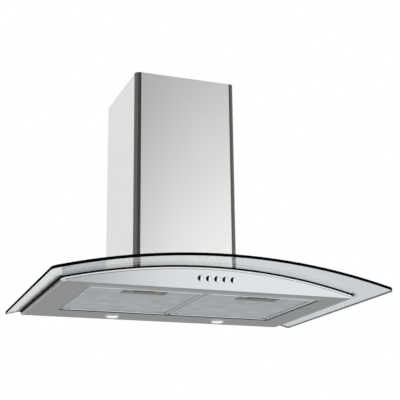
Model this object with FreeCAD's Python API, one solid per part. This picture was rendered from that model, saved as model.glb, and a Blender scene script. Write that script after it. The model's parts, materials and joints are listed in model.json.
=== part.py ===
import FreeCAD, Part
import math
import os

from FreeCAD import Placement, Rotation, Vector

# Curved glass wall hood. All sizes are millimetres.
# X runs along the wall to the right, +Y points at the wall and Z is up. The origin is on the
# wall face of the body, on the centreline, level with the underside plate.

# Glass canopy: one arched sheet, notched at the back for the motor box
glass_width = 700.0
glass_depth = 500.0
glass_thickness = 6.0
glass_front_corner = 10.0
glass_back_corner = 4.0
glass_wall_gap = 1.0
notch_clearance = 4.0
notch_corner = 8.0
arch_radius = 1355.0
arch_height = 45.0

# Glass fixings, square to the glass, hidden under the chimney
glass_screw_box_gap = 16.0
glass_screw_ys = (-60.0, -175.0)
glass_hole_radius = 3.5
glass_screw_radius = 2.5
glass_screw_head_radius = 4.5
glass_screw_head_height = 2.8
glass_nut_reach = 4.0
glass_washer_radius = 6.5
glass_washer_thickness = 1.2

# Body shell: folded stainless sheet, wider at the wall than at the fascia
sheet = 1.0
body_depth = 401.5
body_width_front = 615.0
body_width_back = 626.0
side_lean = 0.875
fascia_lean = 1.0 / 3.0
body_corner = 6.0
body_top_corner = 2.5
top_flange = 12.0
fascia_wrap = 13.0
seam = 0.3
front_upstand = 11.0
gasket_thickness = 2.5
gasket_width = 9.0
gasket_inset = 0.6
deck_lap = 8.0
deck_gap = 0.1

# Rivets that hold the fascia to the pan
rivet_radius = 1.6
rivet_head_radius = 3.0
rivet_head_height = 1.0
rivet_height = 6.5
rivet_xs = (-270.0, -150.0, 150.0, 270.0)

# Filter opening and the two filters in it
opening_width = 498.0
opening_front = -366.0
opening_back = -97.0
lip_height = 5.2
filter_side_gap = 1.2
filter_centre_gap = 1.6
filter_end_gap = 1.0
filter_thickness = 9.0
frame_wall = 1.0
frame_flange = 9.0
mesh_clearance = 0.1
face_mesh_thickness = 1.0
foil_thickness = 0.6
foil_pitch = 12.0

# Hinge at the back of each filter
hinge_pin_radius = 1.5
hinge_hole_radius = 1.55
hinge_notch_width = 6.0
hinge_notch_depth = 10.5
hinge_block_length = 8.0
hinge_pin_reach = 4.7
hanger_radius = 4.0
hanger_side_thickness = 3.0
hanger_centre_thickness = 6.4
hanger_foot_width = 12.0
hanger_foot_height = 1.6
hanger_back = -84.0

# Handle tray and catch of each filter
tray_width = 86.0
tray_depth = 42.0
tray_front = -353.0
tray_wall = 1.0
tray_rim = 0.3
tray_floor = 4.0
tray_clearance = 1.0
window_width = 43.0
window_depth = 20.0
window_front = -346.0
guide_height = 2.2
guide_lip = 3.0
catch_travel = 3.6
catch_release_gap = 0.6
catch_width = 44.0
catch_depth = 27.0
catch_thickness = 1.0
catch_lift = 0.5
catch_pad_width = 38.0
catch_pad_depth = 13.0
catch_pad_bottom = 1.2
catch_tongue_width = 14.0
catch_side_gap = 0.5
catch_tab_width = 6.0
catch_tab_height = 2.1
spring_radius = 1.3
spring_wire = 0.4
spring_lift = 0.2

# Rail over the joint between the filters
rail_width = 24.0
rail_bottom = 10.5
rail_height = 11.0
rail_sheet = 1.2
rail_post = 12.0

# Push buttons in the fascia
button_count = 5
button_pitch = 17.5
button_centre_x = 2.0
button_height = 20.5
button_radius = 5.8
button_hole_radius = 6.1
button_proud = 4.0
button_dome = 1.6
button_flange_radius = 7.2
button_flange_thickness = 1.0
button_play = 0.2
button_stem_radius = 2.5
button_stem_length = 10.0
button_travel = 3.0
button_end_gap = 0.6

# Switch bank behind the buttons
bank_depth = 14.0
bank_low = -10.0
bank_high = 8.0
bank_margin = 8.0
bank_hole_radius = 2.8
bracket_sheet = 1.2
bracket_foot = 8.0
bracket_gap = 1.0

# Lamps behind the filters, a little right of centre as the photo shows
lamp_xs = (-112.0, 146.0)
lamp_y = -38.0
lamp_hole_radius = 15.5
bezel_radius = 18.0
bezel_inner_radius = 14.4
bezel_proud = 1.2
bezel_depth = 4.0
lens_radius = 14.2
lens_dome = 1.6
lens_thickness = 2.5
cup_radius = 17.0
cup_wall = 1.0
cup_height = 27.0
bulb_radius = 5.5
bulb_length = 19.0

# Motor box: welded sheet, its back wall carries the hood on four wall screws
box_half_width = 90.0
box_front = -222.0
box_top = 250.0
box_sheet = 1.0
collar_gap = 0.2
collar_top = 62.0
collar_back = -12.6
wall_screw_spacing_x = 140.0
wall_screw_spacing_z = 120.0
wall_screw_centre_z = 150.0
wall_screw_hole_radius = 3.5
box_screw_radius = 2.0
box_screw_head_radius = 3.6
box_screw_head_height = 2.2
box_screw_length = 5.0
box_screw_z = 55.0
box_screw_ys = (-60.0, -150.0)

# Blower: double inlet scroll, its axis along X
blower_y = -125.0
blower_z = 150.0
scroll_start_radius = 66.0
scroll_end_radius = 90.0
scroll_start_angle = 70.0
scroll_wall = 2.5
scroll_half_width = 50.5
scroll_inlet_radius = 46.0
scroll_flange = 12.0
scroll_flange_thickness = 2.0
scroll_seat_gap = 0.1
scroll_points = 25
blower_screw_radius = 1.95
blower_screw_head_radius = 3.8
blower_screw_head_height = 2.4
impeller_radius = 58.0
impeller_blade_depth = 11.0
impeller_half_width = 42.0
impeller_blades = 26
impeller_blade_thickness = 1.2
impeller_blade_angle = 28.0
impeller_ring = 2.0
impeller_disc_x = 4.0
impeller_hub_radius = 10.0
impeller_hub_length = 16.0
shaft_radius = 4.0
shaft_clearance = 0.05
shaft_length = 84.0
motor_radius = 36.0
motor_length = 54.0
motor_left = -60.0
bracket_ring_outer = 60.0
bracket_ring_inner = 50.0
bracket_plate = 2.4
bracket_hub_wall = 3.5
bracket_arm_width = 9.0
bracket_screw_radius = 1.6
bracket_screw_head_radius = 3.0
bracket_screw_head_height = 2.0
bracket_screw_length = 4.5

# Outlet collar with two damper flaps
outlet_y = -90.0
outlet_radius = 74.5
outlet_wall = 2.0
outlet_height = 65.0
outlet_flange_radius = 82.0
outlet_flange_thickness = 2.0
flap_height = 24.0
flap_thickness = 1.2
flap_edge_gap = 0.9
flap_stop = 2.0
flap_stop_thickness = 1.5
flap_stop_gap = 0.2
flap_axis_offset = 3.2
flap_knuckle_radius = 2.2
flap_knuckle_half_length = 66.0
flap_pin_radius = 1.0
flap_pin_clearance = 0.05
flap_pin_end_gap = 0.3

# Electrical parts on top of the motor box
junction_side_margin = 8.0
junction_y = -195.0
junction_length = 60.0
junction_width = 38.0
junction_height = 35.0
junction_wall = 1.5
junction_lid_thickness = 2.0
junction_lip = 3.0
grommet_z = 20.0
grommet_bore = 3.6
grommet_neck = 5.5
grommet_flange = 8.0
grommet_flange_thickness = 1.5
capacitor_side_margin = 35.0
capacitor_y = -196.0
capacitor_radius = 15.0
capacitor_length = 55.0
capacitor_foot_radius = 9.0
capacitor_foot_height = 3.0

# Cable from the junction box to the switch bank
cable_radius = 2.5
cable_hole_radius = 3.2
cable_end_margin = 12.0
cable_y = -207.0
cable_turn_z = 32.0

# Chimney covers
chimney_side_gap = 29.0
chimney_front_gap = 14.0
chimney_corner = 11.0
chimney_sheet = 0.8
chimney_top = 525.0
chimney_return = 15.0
chimney_glass_gap = 0.5
cover_gap = 0.4
upper_top_gap = 2.0
upper_bottom = 66.0
clip_sheet = 1.2
clip_width = 20.0
clip_height = 12.0
clip_gap = 0.1

# Ceiling bracket inside the top of the upper cover
ceiling_bracket_margin = 17.8
ceiling_bracket_sheet = 1.5
ceiling_bracket_low = 490.0
ceiling_bracket_height = 28.0
ceiling_arm = 20.0
ceiling_tab = 22.0
ceiling_screw_spacing = 160.0
ceiling_screw_hole_radius = 3.0
cover_screw_radius = 1.95
cover_screw_hole_radius = 2.0
cover_screw_head_radius = 3.5
cover_screw_head_height = 2.0

# Sizes that follow from the ones above
arch_centre_z = arch_height - arch_radius
glass_screw_x = box_half_width + glass_screw_box_gap
chimney_width = 2 * (box_half_width + chimney_side_gap)
chimney_depth = chimney_front_gap - box_front
junction_x = box_half_width - junction_side_margin - junction_length / 2
cable_x = junction_x + junction_length / 2 - cable_end_margin
capacitor_x = capacitor_side_margin - box_half_width
body_top = -gasket_thickness
deck_top = body_top - sheet - deck_gap
deck_bottom = deck_top - sheet
lean_angle = math.degrees(math.atan(fascia_lean))
lean_factor = math.hypot(1.0, fascia_lean)
side_taper = (body_width_back - body_width_front) / 2 / body_depth
side_factor = math.sqrt(1.0 + side_taper ** 2 + side_lean ** 2)
button_rest = sheet + button_play
button_swept = button_rest + button_travel + button_end_gap
bank_front = button_swept + button_flange_thickness + bracket_sheet
bank_hole_end = button_swept + button_stem_length
reach = 800.0
tall = 150.0

X_AXIS = Vector(1, 0, 0)
Y_AXIS = Vector(0, 1, 0)
Z_AXIS = Vector(0, 0, 1)


# ---- helpers ----

def box(x0, x1, y0, y1, z0, z1):
    """Box between two corners."""
    return Part.makeBox(x1 - x0, y1 - y0, z1 - z0, Vector(x0, y0, z0))


def rod(start, direction, length, radius):
    """Round bar from start along direction."""
    return Part.makeCylinder(radius, length, start, direction)


def tube(start, direction, length, outer, inner):
    """Round bar with a bore."""
    return rod(start, direction, length, outer).cut(rod(start, direction, length, inner))


def fuse(shapes):
    """One solid from touching or crossing shapes."""
    return shapes[0].multiFuse(shapes[1:]).removeSplitter()


def mirror_x(shape):
    """The same shape on the other side of the centreline."""
    return shape.mirror(Vector(0, 0, 0), X_AXIS)


def screw(seat, direction, length, radius, head_radius, head_height):
    """Screw whose head stands on seat, with its shank along direction."""
    shank = rod(seat, direction, length, radius)
    head_start = seat - direction * head_height
    return shank.fuse(rod(head_start, direction, head_height, head_radius)).removeSplitter()


def vertical_edges(shape, test):
    """Edges along Z whose midpoint passes a test."""
    found = []
    for edge in shape.Edges:
        first = edge.Vertexes[0].Point
        last = edge.Vertexes[-1].Point
        if math.hypot(first.x - last.x, first.y - last.y) > 1e-6 or abs(first.z - last.z) < 1e-6:
            continue
        if test((first + last) * 0.5):
            found.append(edge)
    return found


def hexahedron(bottom, top):
    """Solid with flat faces between two four-sided outlines, listed the same way round."""
    faces = [Part.Face(Part.makePolygon(bottom + bottom[:1]))]
    faces.append(Part.Face(Part.makePolygon(top + top[:1])))
    for i in range(4):
        j = (i + 1) % 4
        side = [bottom[i], bottom[j], top[j], top[i], bottom[i]]
        faces.append(Part.Face(Part.makePolygon(side)))
    solid = Part.makeSolid(Part.makeShell(faces))
    if solid.Volume < 0:
        solid.reverse()
    return solid


def below_arch(offset):
    """Everything under the arch, raised by offset from the glass underside."""
    start = Vector(0, -reach, arch_centre_z)
    return Part.makeCylinder(arch_radius + offset, 2 * reach, start, Y_AXIS)


def arch_slab(low, high):
    """The layer between two heights over the arch, both measured from the glass underside."""
    return below_arch(high).cut(below_arch(low))


def on_arch(shape, x):
    """Carry a shape drawn over the centreline round the arch to x, square to the glass."""
    angle = math.degrees(math.asin(x / (arch_radius + glass_thickness)))
    moved = shape.copy()
    moved.rotate(Vector(0, 0, arch_centre_z), Y_AXIS, angle)
    return moved


def side_x(y, z, inset):
    """Half width of the body at depth y and height z."""
    half_front = body_width_front / 2 + side_lean * z
    return half_front + side_taper * (body_depth + y) - inset * side_factor


def front_y(z, inset):
    """Depth of the fascia plane at height z."""
    return -(body_depth + fascia_lean * z) + inset * lean_factor


def body_outline(z, inset):
    """Four plan corners of the body at height z."""
    front = front_y(z, inset)
    back = -inset
    wide = side_x(back, z, inset)
    narrow = side_x(front, z, inset)
    return [
        Vector(-wide, back, z),
        Vector(wide, back, z),
        Vector(narrow, front, z),
        Vector(-narrow, front, z),
    ]


def body_block(inset, low=-5.0, high=tall):
    """The body's leaning block, inset from its outer faces and endless upwards."""
    return hexahedron(body_outline(low, inset), body_outline(high, inset))


def is_front_corner(edge):
    """True for the leaning edge between the fascia and a side."""
    first = edge.Vertexes[0].Point
    last = edge.Vertexes[-1].Point
    return abs(first.z - last.z) > 1.0 and max(first.y, last.y) < -body_depth / 2


def round_corners(block, radius):
    """Round the two leaning edges between the fascia and the sides."""
    return block.makeFillet(radius, [e for e in block.Edges if is_front_corner(e)])


def rounded_body(inset, top_offset, corner, top_corner, low=-5.0):
    """The body's block under the arch, with its front corners and top edges rounded."""
    block = round_corners(body_block(inset, low), corner).common(below_arch(top_offset))
    surface = arch_radius + top_offset
    rims = []
    for edge in block.Edges:
        points = edge.discretize(5)
        on_top = all(abs(math.hypot(p.x, p.z - arch_centre_z) - surface) < 1e-3 for p in points)
        at_wall = all(p.y > -inset - 1e-3 for p in points)
        if on_top and not at_wall and points[2].z > 0:
            rims.append(edge)
    return block.makeFillet(top_corner, rims)


def fascia_zone(depth):
    """The space within depth of the fascia's outer face."""
    def row(z):
        back = front_y(z, depth)
        return [
            Vector(-reach, back, z),
            Vector(reach, back, z),
            Vector(reach, back - reach, z),
            Vector(-reach, back - reach, z),
        ]
    return hexahedron(row(-tall), row(tall))


def on_fascia(shape):
    """Place a shape drawn on the fascia: Y inwards through the sheet, Z up along it."""
    placed = shape.copy()
    foot = Vector(0, front_y(button_height, 0.0), button_height)
    placed.Placement = Placement(foot, Rotation(X_AXIS, lean_angle)).multiply(placed.Placement)
    return placed


pieces = {}


def keep(name, shape):
    """Store a finished piece under its name."""
    pieces[name] = shape


# ---- glass canopy, gasket and fixings ----

def make_glass():
    notch_half = box_half_width + notch_clearance
    notch_front = box_front - notch_clearance
    back = -glass_wall_gap
    front = back - glass_depth
    half = glass_width / 2
    plan = box(-half, half, front, back, -tall, tall)
    plan = plan.makeFillet(glass_front_corner, vertical_edges(plan, lambda p: p.y < front + 1))
    plan = plan.makeFillet(glass_back_corner, vertical_edges(plan, lambda p: p.y > back - 1))
    notch = box(-notch_half, notch_half, notch_front, tall, -tall, tall)
    notch = notch.makeFillet(notch_corner, vertical_edges(notch, lambda p: p.y < notch_front + 1))
    glass = plan.cut(notch).common(arch_slab(0.0, glass_thickness))
    for side in (-1, 1):
        for y in glass_screw_ys:
            hole = rod(Vector(0, y, arch_height - glass_thickness), Z_AXIS,
                       3 * glass_thickness, glass_hole_radius)
            glass = glass.cut(on_arch(hole, side * glass_screw_x))
    keep("glass_canopy", glass)


def make_gasket():
    outer = body_block(gasket_inset)
    inner = body_block(gasket_inset + gasket_width)
    ring = outer.cut(inner).common(arch_slab(body_top, 0.0))
    ring = ring.common(box(-reach, reach, -reach, -glass_wall_gap, -tall, tall))
    # the motor box and its collar interrupt the strip along the wall
    gap_half = box_half_width + notch_clearance
    keep("glass_gasket", ring.cut(box(-gap_half, gap_half, -tall, tall, -tall, tall)))


def make_glass_fixings():
    screws = []
    washers = []
    spacers = []
    top = arch_height + glass_thickness
    deck = arch_height + deck_top
    head_seat = top + glass_washer_thickness
    shank = head_seat - deck + sheet + glass_nut_reach
    for side in (-1, 1):
        for y in glass_screw_ys:
            x = side * glass_screw_x
            down = Vector(0, 0, -1)
            bolt = screw(Vector(0, y, head_seat), down, shank, glass_screw_radius,
                         glass_screw_head_radius, glass_screw_head_height)
            screws.append(on_arch(bolt, x))
            washer = tube(Vector(0, y, top), Z_AXIS, glass_washer_thickness,
                          glass_washer_radius, glass_hole_radius)
            washers.append(on_arch(washer, x))
            spacer = tube(Vector(0, y, deck), Z_AXIS, arch_height - deck,
                          glass_washer_radius, glass_hole_radius)
            spacer = on_arch(spacer, x).cut(arch_slab(0.0, glass_thickness))
            spacers.append(spacer.cut(below_arch(deck_top)))
    keep("glass_screws", Part.makeCompound(screws))
    keep("glass_washers", Part.makeCompound([w.cut(below_arch(glass_thickness)) for w in washers]))
    keep("glass_spacers", Part.makeCompound(spacers))


# ---- body shell ----

def make_shell():
    """Returns the closed shell that the pan and the fascia are cut from."""
    outer = rounded_body(0.0, body_top, body_corner, body_top_corner, 0.0)
    inner = rounded_body(sheet, body_top - sheet, body_corner - sheet, body_top_corner - sheet)
    return outer.cut(inner)


def shell_window():
    """The space inside the top flange, which the deck closes."""
    return body_block(top_flange)


def make_pan_and_fascia():
    shell = make_shell().cut(shell_window())
    fascia = shell.common(fascia_zone(fascia_wrap))
    walls = shell.cut(fascia_zone(fascia_wrap + seam))

    plate = body_block(0.0, 0.0, sheet)
    inside = round_corners(body_block(sheet + seam), body_corner - sheet - seam)
    plate = plate.cut(fascia_zone(fascia_wrap + seam).cut(inside))
    upstand = body_block(sheet + seam, 0.0, front_upstand)
    upstand = upstand.cut(body_block(2 * sheet + seam))
    upstand = upstand.common(fascia_zone(2 * sheet + seam + 0.01))
    half_upstand = body_width_front / 2 - fascia_wrap - top_flange
    upstand = upstand.common(box(-half_upstand, half_upstand, -reach, 0, 0, tall))

    half = opening_width / 2
    lip = box(-half, half, opening_front - sheet, opening_front, 0, lip_height)
    pan = fuse([walls, plate, upstand, lip])
    pan = pan.cut(box(-half, half, opening_front, opening_back, -1, sheet + 1))
    for x in lamp_xs:
        pan = pan.cut(rod(Vector(x, lamp_y, -1), Z_AXIS, sheet + 2, lamp_hole_radius))

    for hole_x in button_xs():
        hole = rod(Vector(hole_x, -5, 0), Y_AXIS, 15, button_hole_radius)
        fascia = fascia.cut(on_fascia(hole))
    rivets = []
    for x in rivet_xs:
        foot = Vector(x, 0, 0)
        seat_depth = 2 * sheet + seam
        drop = (rivet_height - button_height) * lean_factor
        seat = foot + Vector(0, seat_depth, drop)
        rivet = screw(seat, Vector(0, -1, 0), seat_depth - sheet / 2, rivet_radius,
                      rivet_head_radius, rivet_head_height)
        rivets.append(on_fascia(rivet))
        hole = on_fascia(rod(foot + Vector(0, sheet / 2, drop), Y_AXIS, seat_depth, rivet_radius))
        pan = pan.cut(hole)
        fascia = fascia.cut(hole)
    keep("body_pan", pan)
    keep("fascia", fascia)
    keep("fascia_rivets", Part.makeCompound(rivets))


def make_deck():
    """The deck is notched to the wall; four folded strips round the notch make its collar."""
    slab = body_block(top_flange - deck_lap).common(arch_slab(deck_bottom, deck_top))
    half = box_half_width - box_sheet - collar_gap
    front = box_front + box_sheet + collar_gap
    back = collar_back
    deck = slab.cut(box(-half, half, front, reach, 0, tall))
    inner = half - sheet
    strips = [
        box(-half, -inner, front, back, 0, collar_top),
        box(inner, half, front, back, 0, collar_top),
        box(-inner, inner, front, front + sheet, 0, collar_top),
    ]
    back_wall = box(-inner, inner, back - sheet, back, 0, collar_top)
    ledge = slab.common(box(-half, half, back, reach, 0, tall))
    strips = [strip.cut(below_arch(deck_bottom)) for strip in strips]
    strips.append(fuse([back_wall.cut(below_arch(deck_bottom)), ledge]))
    for side in (-1, 1):
        for y in box_screw_ys:
            start = Vector(side * (box_half_width + 5), y, box_screw_z)
            hole = rod(start, Vector(-side, 0, 0), 20, box_screw_radius)
            strips = [strip.cut(hole) for strip in strips]
        for y in glass_screw_ys:
            hole = rod(Vector(0, y, 0), Z_AXIS, tall, glass_screw_radius)
            deck = deck.cut(on_arch(hole, side * glass_screw_x))
    keep("body_deck", deck)
    keep("deck_collar", Part.makeCompound(strips))


def make_rail():
    front = opening_front - 2 - rail_post
    back = hanger_back + 2 + rail_post
    half = rail_width / 2
    top = rail_bottom + rail_height
    channel = box(-half, half, front, back, rail_bottom, top)
    hollow = box(-half + rail_sheet, half - rail_sheet, front - 1, back + 1, 0, top - rail_sheet)
    front_post = box(-half, half, front, front + rail_post, sheet, rail_bottom + 1)
    back_post = box(-half, half, back - rail_post, back, sheet, rail_bottom + 1)
    posts = fuse([channel, front_post, back_post]).cut(hollow)
    feet = []
    for y0 in (front, back - rail_post):
        feet.append(box(-half, half, y0, y0 + rail_post, sheet, sheet + rail_sheet))
    keep("centre_rail", fuse([posts] + feet))


# ---- filters ----

hinge_y = opening_back - filter_end_gap - filter_thickness / 2
hinge_z = filter_thickness / 2
filter_front = opening_front + filter_end_gap
filter_width = (opening_width - 2 * filter_side_gap - filter_centre_gap) / 2
filter_lefts = {
    "left": -opening_width / 2 + filter_side_gap,
    "right": filter_centre_gap / 2,
}


def rounded_bar(x0, x1, front, radius):
    """Flat bar along X whose back edge is round about the hinge line."""
    flat = box(x0, x1, front, hinge_y, hinge_z - radius, hinge_z + radius)
    nose = rod(Vector(x0, hinge_y, hinge_z), X_AXIS, x1 - x0, radius)
    return flat.fuse(nose).removeSplitter()


def hinge_notches(x0, x1, grow):
    """The space cut out of both back corners of a filter."""
    width = hinge_notch_width + grow
    front = opening_back - filter_end_gap - hinge_notch_depth - grow
    left = box(x0 - 1, x0 + width, front, 0, -1, filter_thickness + 1)
    right = box(x1 - width, x1 + 1, front, 0, -1, filter_thickness + 1)
    return [left, right]


def folded_foil(x0, x1, y0, y1, z0, z1):
    """One zigzag sheet whose folds run along Y and reach from z0 to z1."""
    folds = 2 * round((x1 - x0) / foil_pitch)
    lower = []
    upper = []
    for i in range(folds + 1):
        x = x0 + (x1 - x0) * i / folds
        z = z0 if i % 2 == 0 else z1 - foil_thickness
        lower.append(Vector(x, y0, z))
        upper.append(Vector(x, y0, z + foil_thickness))
    outline = Part.makePolygon(lower + upper[::-1] + lower[:1])
    return Part.Face(outline).extrude(Vector(0, y1 - y0, 0))


def make_filter(side):
    x0 = filter_lefts[side]
    x1 = x0 + filter_width
    middle = (x0 + x1) / 2
    half_thickness = filter_thickness / 2

    frame = rounded_bar(x0, x1, filter_front, half_thickness)
    hollow = rounded_bar(x0 + frame_wall, x1 - frame_wall, filter_front + frame_wall,
                         half_thickness - frame_wall)
    window = box(x0 + frame_flange, x1 - frame_flange, filter_front + frame_flange,
                 opening_back - filter_end_gap - frame_flange, -1, filter_thickness + 1)
    frame = frame.cut(hollow).cut(window)
    for notch in hinge_notches(x0, x1, 0.0):
        frame = frame.cut(notch)
    tongue_low = tray_floor + tray_wall + catch_lift
    tongue_high = tongue_low + catch_thickness
    slot_half = catch_tongue_width / 2 + catch_side_gap
    slot = box(middle - slot_half, middle + slot_half, filter_front - 1, filter_front + 2,
               tongue_low - catch_side_gap, tongue_high + catch_side_gap)
    keep("filter_%s_frame" % side, frame.cut(slot))

    # flat face mesh and the folded pack over it, cut back round the tray and the hinge blocks
    mesh_x0 = x0 + frame_wall + mesh_clearance
    mesh_x1 = x1 - frame_wall - mesh_clearance
    mesh_y0 = filter_front + frame_wall + mesh_clearance
    mesh_z0 = frame_wall + mesh_clearance
    mesh_z1 = filter_thickness - frame_wall - mesh_clearance
    split = mesh_z0 + face_mesh_thickness
    face = box(mesh_x0, mesh_x1, mesh_y0, hinge_y, mesh_z0, split)
    pack = folded_foil(mesh_x0, mesh_x1, mesh_y0, hinge_y, split + mesh_clearance, mesh_z1)
    tray_x0 = middle - tray_width / 2
    tray_x1 = middle + tray_width / 2
    tray_back = tray_front + tray_depth
    cutters = [
        box(tray_x0 - tray_clearance, tray_x1 + tray_clearance, tray_front - tray_clearance,
            tray_back + tray_clearance, -1, filter_thickness + 1),
    ]
    cutters += hinge_notches(x0, x1, hinge_block_length + mesh_clearance)
    for cutter in cutters:
        face = face.cut(cutter)
        pack = pack.cut(cutter)
    pack = pack.cut(box(middle - slot_half, middle + slot_half, filter_front, tray_front,
                        -1, filter_thickness + 1))
    keep("filter_%s_face_mesh" % side, face)
    keep("filter_%s_mesh_pack" % side, pack)

    # handle tray, open downwards, with a window for the catch pad and guides over its floor
    floor_top = tray_floor + tray_wall
    tray = box(tray_x0, tray_x1, tray_front, tray_back, tray_rim, floor_top)
    tray = tray.cut(box(tray_x0 + tray_wall, tray_x1 - tray_wall, tray_front + tray_wall,
                        tray_back - tray_wall, -1, tray_floor))
    hook = box(tray_x0 - tray_clearance, tray_x1 + tray_clearance, tray_front - tray_clearance,
               tray_back + tray_clearance, mesh_z0, split)
    hook = hook.cut(box(tray_x0, tray_x1, tray_front, tray_back, -1, tall))
    guides = []
    guide_x = catch_width / 2 + catch_side_gap
    for sign in (-1, 1):
        near = middle + sign * guide_x
        far = near + sign * tray_wall
        inner = near - sign * guide_lip
        wall = box(min(near, far), max(near, far), tray_front + 4, tray_back - 4,
                   floor_top, floor_top + guide_height)
        lip_z = floor_top + guide_height - 0.6
        lip = box(min(inner, far), max(inner, far), tray_front + 4, tray_back - 4,
                  lip_z, floor_top + guide_height)
        guides += [wall, lip]
    spring_seat = box(middle - 5, middle + 5, tray_back - tray_wall, tray_back,
                      floor_top, floor_top + guide_height + 0.4)
    tray = fuse([tray, hook, spring_seat] + guides)
    window_x0 = middle - window_width / 2
    tray = tray.cut(box(window_x0, window_x0 + window_width, window_front,
                        window_front + window_depth, 0, floor_top + 0.1))
    keep("filter_%s_handle_tray" % side, tray)

    # catch, drawn pulled back: its nose stops short of the opening's lip
    nose = opening_front + catch_release_gap
    plate_front = tray_front + 4 + catch_travel
    plate = box(middle - catch_width / 2, middle + catch_width / 2, plate_front,
                plate_front + catch_depth, tongue_low, tongue_high)
    tongue = box(middle - catch_tongue_width / 2, middle + catch_tongue_width / 2, nose,
                 plate_front + 1, tongue_low, tongue_high)
    pad_x0 = window_x0 + catch_side_gap
    pad_front = window_front + catch_travel + catch_side_gap
    pad = box(pad_x0, pad_x0 + catch_pad_width, pad_front, pad_front + catch_pad_depth,
              catch_pad_bottom, tongue_high)
    spring_front = plate_front + catch_depth
    tab = box(middle - catch_tab_width / 2, middle + catch_tab_width / 2,
              spring_front - catch_thickness, spring_front, tongue_low,
              tongue_low + catch_tab_height)
    keep("filter_%s_catch" % side, fuse([plate, tongue, pad, tab]))

    spring_z = floor_top + spring_lift + spring_radius
    spring_back = tray_back - tray_wall
    keep("filter_%s_catch_spring" % side,
         tube(Vector(middle, spring_front, spring_z), Y_AXIS, spring_back - spring_front,
              spring_radius, spring_radius - spring_wire))

    # corner blocks with the hinge pins
    blocks = []
    block_radius = half_thickness - frame_wall - mesh_clearance
    for wall_x, outwards in ((x0 + hinge_notch_width, -1), (x1 - hinge_notch_width, 1)):
        inner_x = wall_x - outwards * hinge_block_length
        low_x = min(wall_x, inner_x)
        block = rounded_bar(low_x, low_x + hinge_block_length, hinge_y - hinge_block_length,
                            block_radius)
        pin = rod(Vector(wall_x, hinge_y, hinge_z), Vector(outwards, 0, 0),
                  hinge_pin_reach, hinge_pin_radius)
        blocks.append(block.fuse(pin).removeSplitter())
    keep("filter_%s_hinge_blocks" % side, Part.makeCompound(blocks))


def make_hangers():
    """Three ears on the back ledge of the pan that the hinge pins hang in."""
    ears = []
    left_notch = filter_lefts["left"] + hinge_notch_width
    side_middle = left_notch - hinge_pin_reach + hanger_side_thickness / 2 + 0.2
    for x, thickness in ((side_middle, hanger_side_thickness), (0.0, hanger_centre_thickness),
                         (-side_middle, hanger_side_thickness)):
        low = x - thickness / 2
        disc = rod(Vector(low, hinge_y, hinge_z), X_AXIS, thickness, hanger_radius)
        arm = box(low, low + thickness, hinge_y, hanger_back, sheet, hinge_z + hanger_radius)
        foot = box(x - hanger_foot_width / 2, x + hanger_foot_width / 2, opening_back + 1,
                   hanger_back, sheet, sheet + hanger_foot_height)
        ear = fuse([disc, arm, foot])
        hole = rod(Vector(low - 1, hinge_y, hinge_z), X_AXIS, thickness + 2, hinge_hole_radius)
        throat = box(low - 1, low + thickness + 1, hinge_y - hinge_pin_radius,
                     hinge_y + hinge_pin_radius, hinge_z, hinge_z + 2 * hanger_radius)
        ears.append(ear.cut(hole).cut(throat))
    keep("filter_hangers", Part.makeCompound(ears))


# ---- buttons and switch bank ----

button_names = ("light", "stop", "low", "medium", "high")


def button_xs():
    """Places of the buttons along the fascia."""
    first = button_centre_x - button_pitch * (button_count - 1) / 2
    return [first + button_pitch * i for i in range(button_count)]


def make_buttons():
    for name, x in zip(button_names, button_xs()):
        cap = rod(Vector(x, -button_proud, 0), Y_AXIS, button_proud + button_rest, button_radius)
        rim = [e for e in cap.Edges if e.Closed and e.Vertexes[0].Y < -button_proud + 0.1]
        cap = cap.makeFillet(button_dome, rim)
        flange = rod(Vector(x, button_rest, 0), Y_AXIS, button_flange_thickness,
                     button_flange_radius)
        stem = rod(Vector(x, button_rest, 0), Y_AXIS, button_stem_length, button_stem_radius)
        keep("button_" + name, on_fascia(fuse([cap, flange, stem])))


def make_switch_bank():
    half = button_pitch * (button_count - 1) / 2 + bank_margin
    x0 = button_centre_x - half
    x1 = button_centre_x + half
    plate_y = bank_front - bracket_sheet
    bank = box(x0, x1, bank_front, bank_front + bank_depth, bank_low, bank_high)
    foot_out = bracket_gap + bracket_foot
    plate = box(x0 - foot_out, x1 + foot_out, plate_y, bank_front, bank_low, bank_high)
    left_foot = box(x0 - foot_out, x0 - bracket_gap, sheet, plate_y, bank_low, bank_high)
    right_foot = box(x1 + bracket_gap, x1 + foot_out, sheet, plate_y, bank_low, bank_high)
    bracket = fuse([plate, left_foot, right_foot])
    for x in button_xs():
        bank = bank.cut(rod(Vector(x, 0, 0), Y_AXIS, bank_hole_end, bank_hole_radius))
        bracket = bracket.cut(rod(Vector(x, 0, 0), Y_AXIS, bank_front + 1, bank_hole_radius))
    keep("switch_bank", on_fascia(bank))
    keep("switch_bracket", on_fascia(bracket))


# ---- lamps ----

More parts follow.
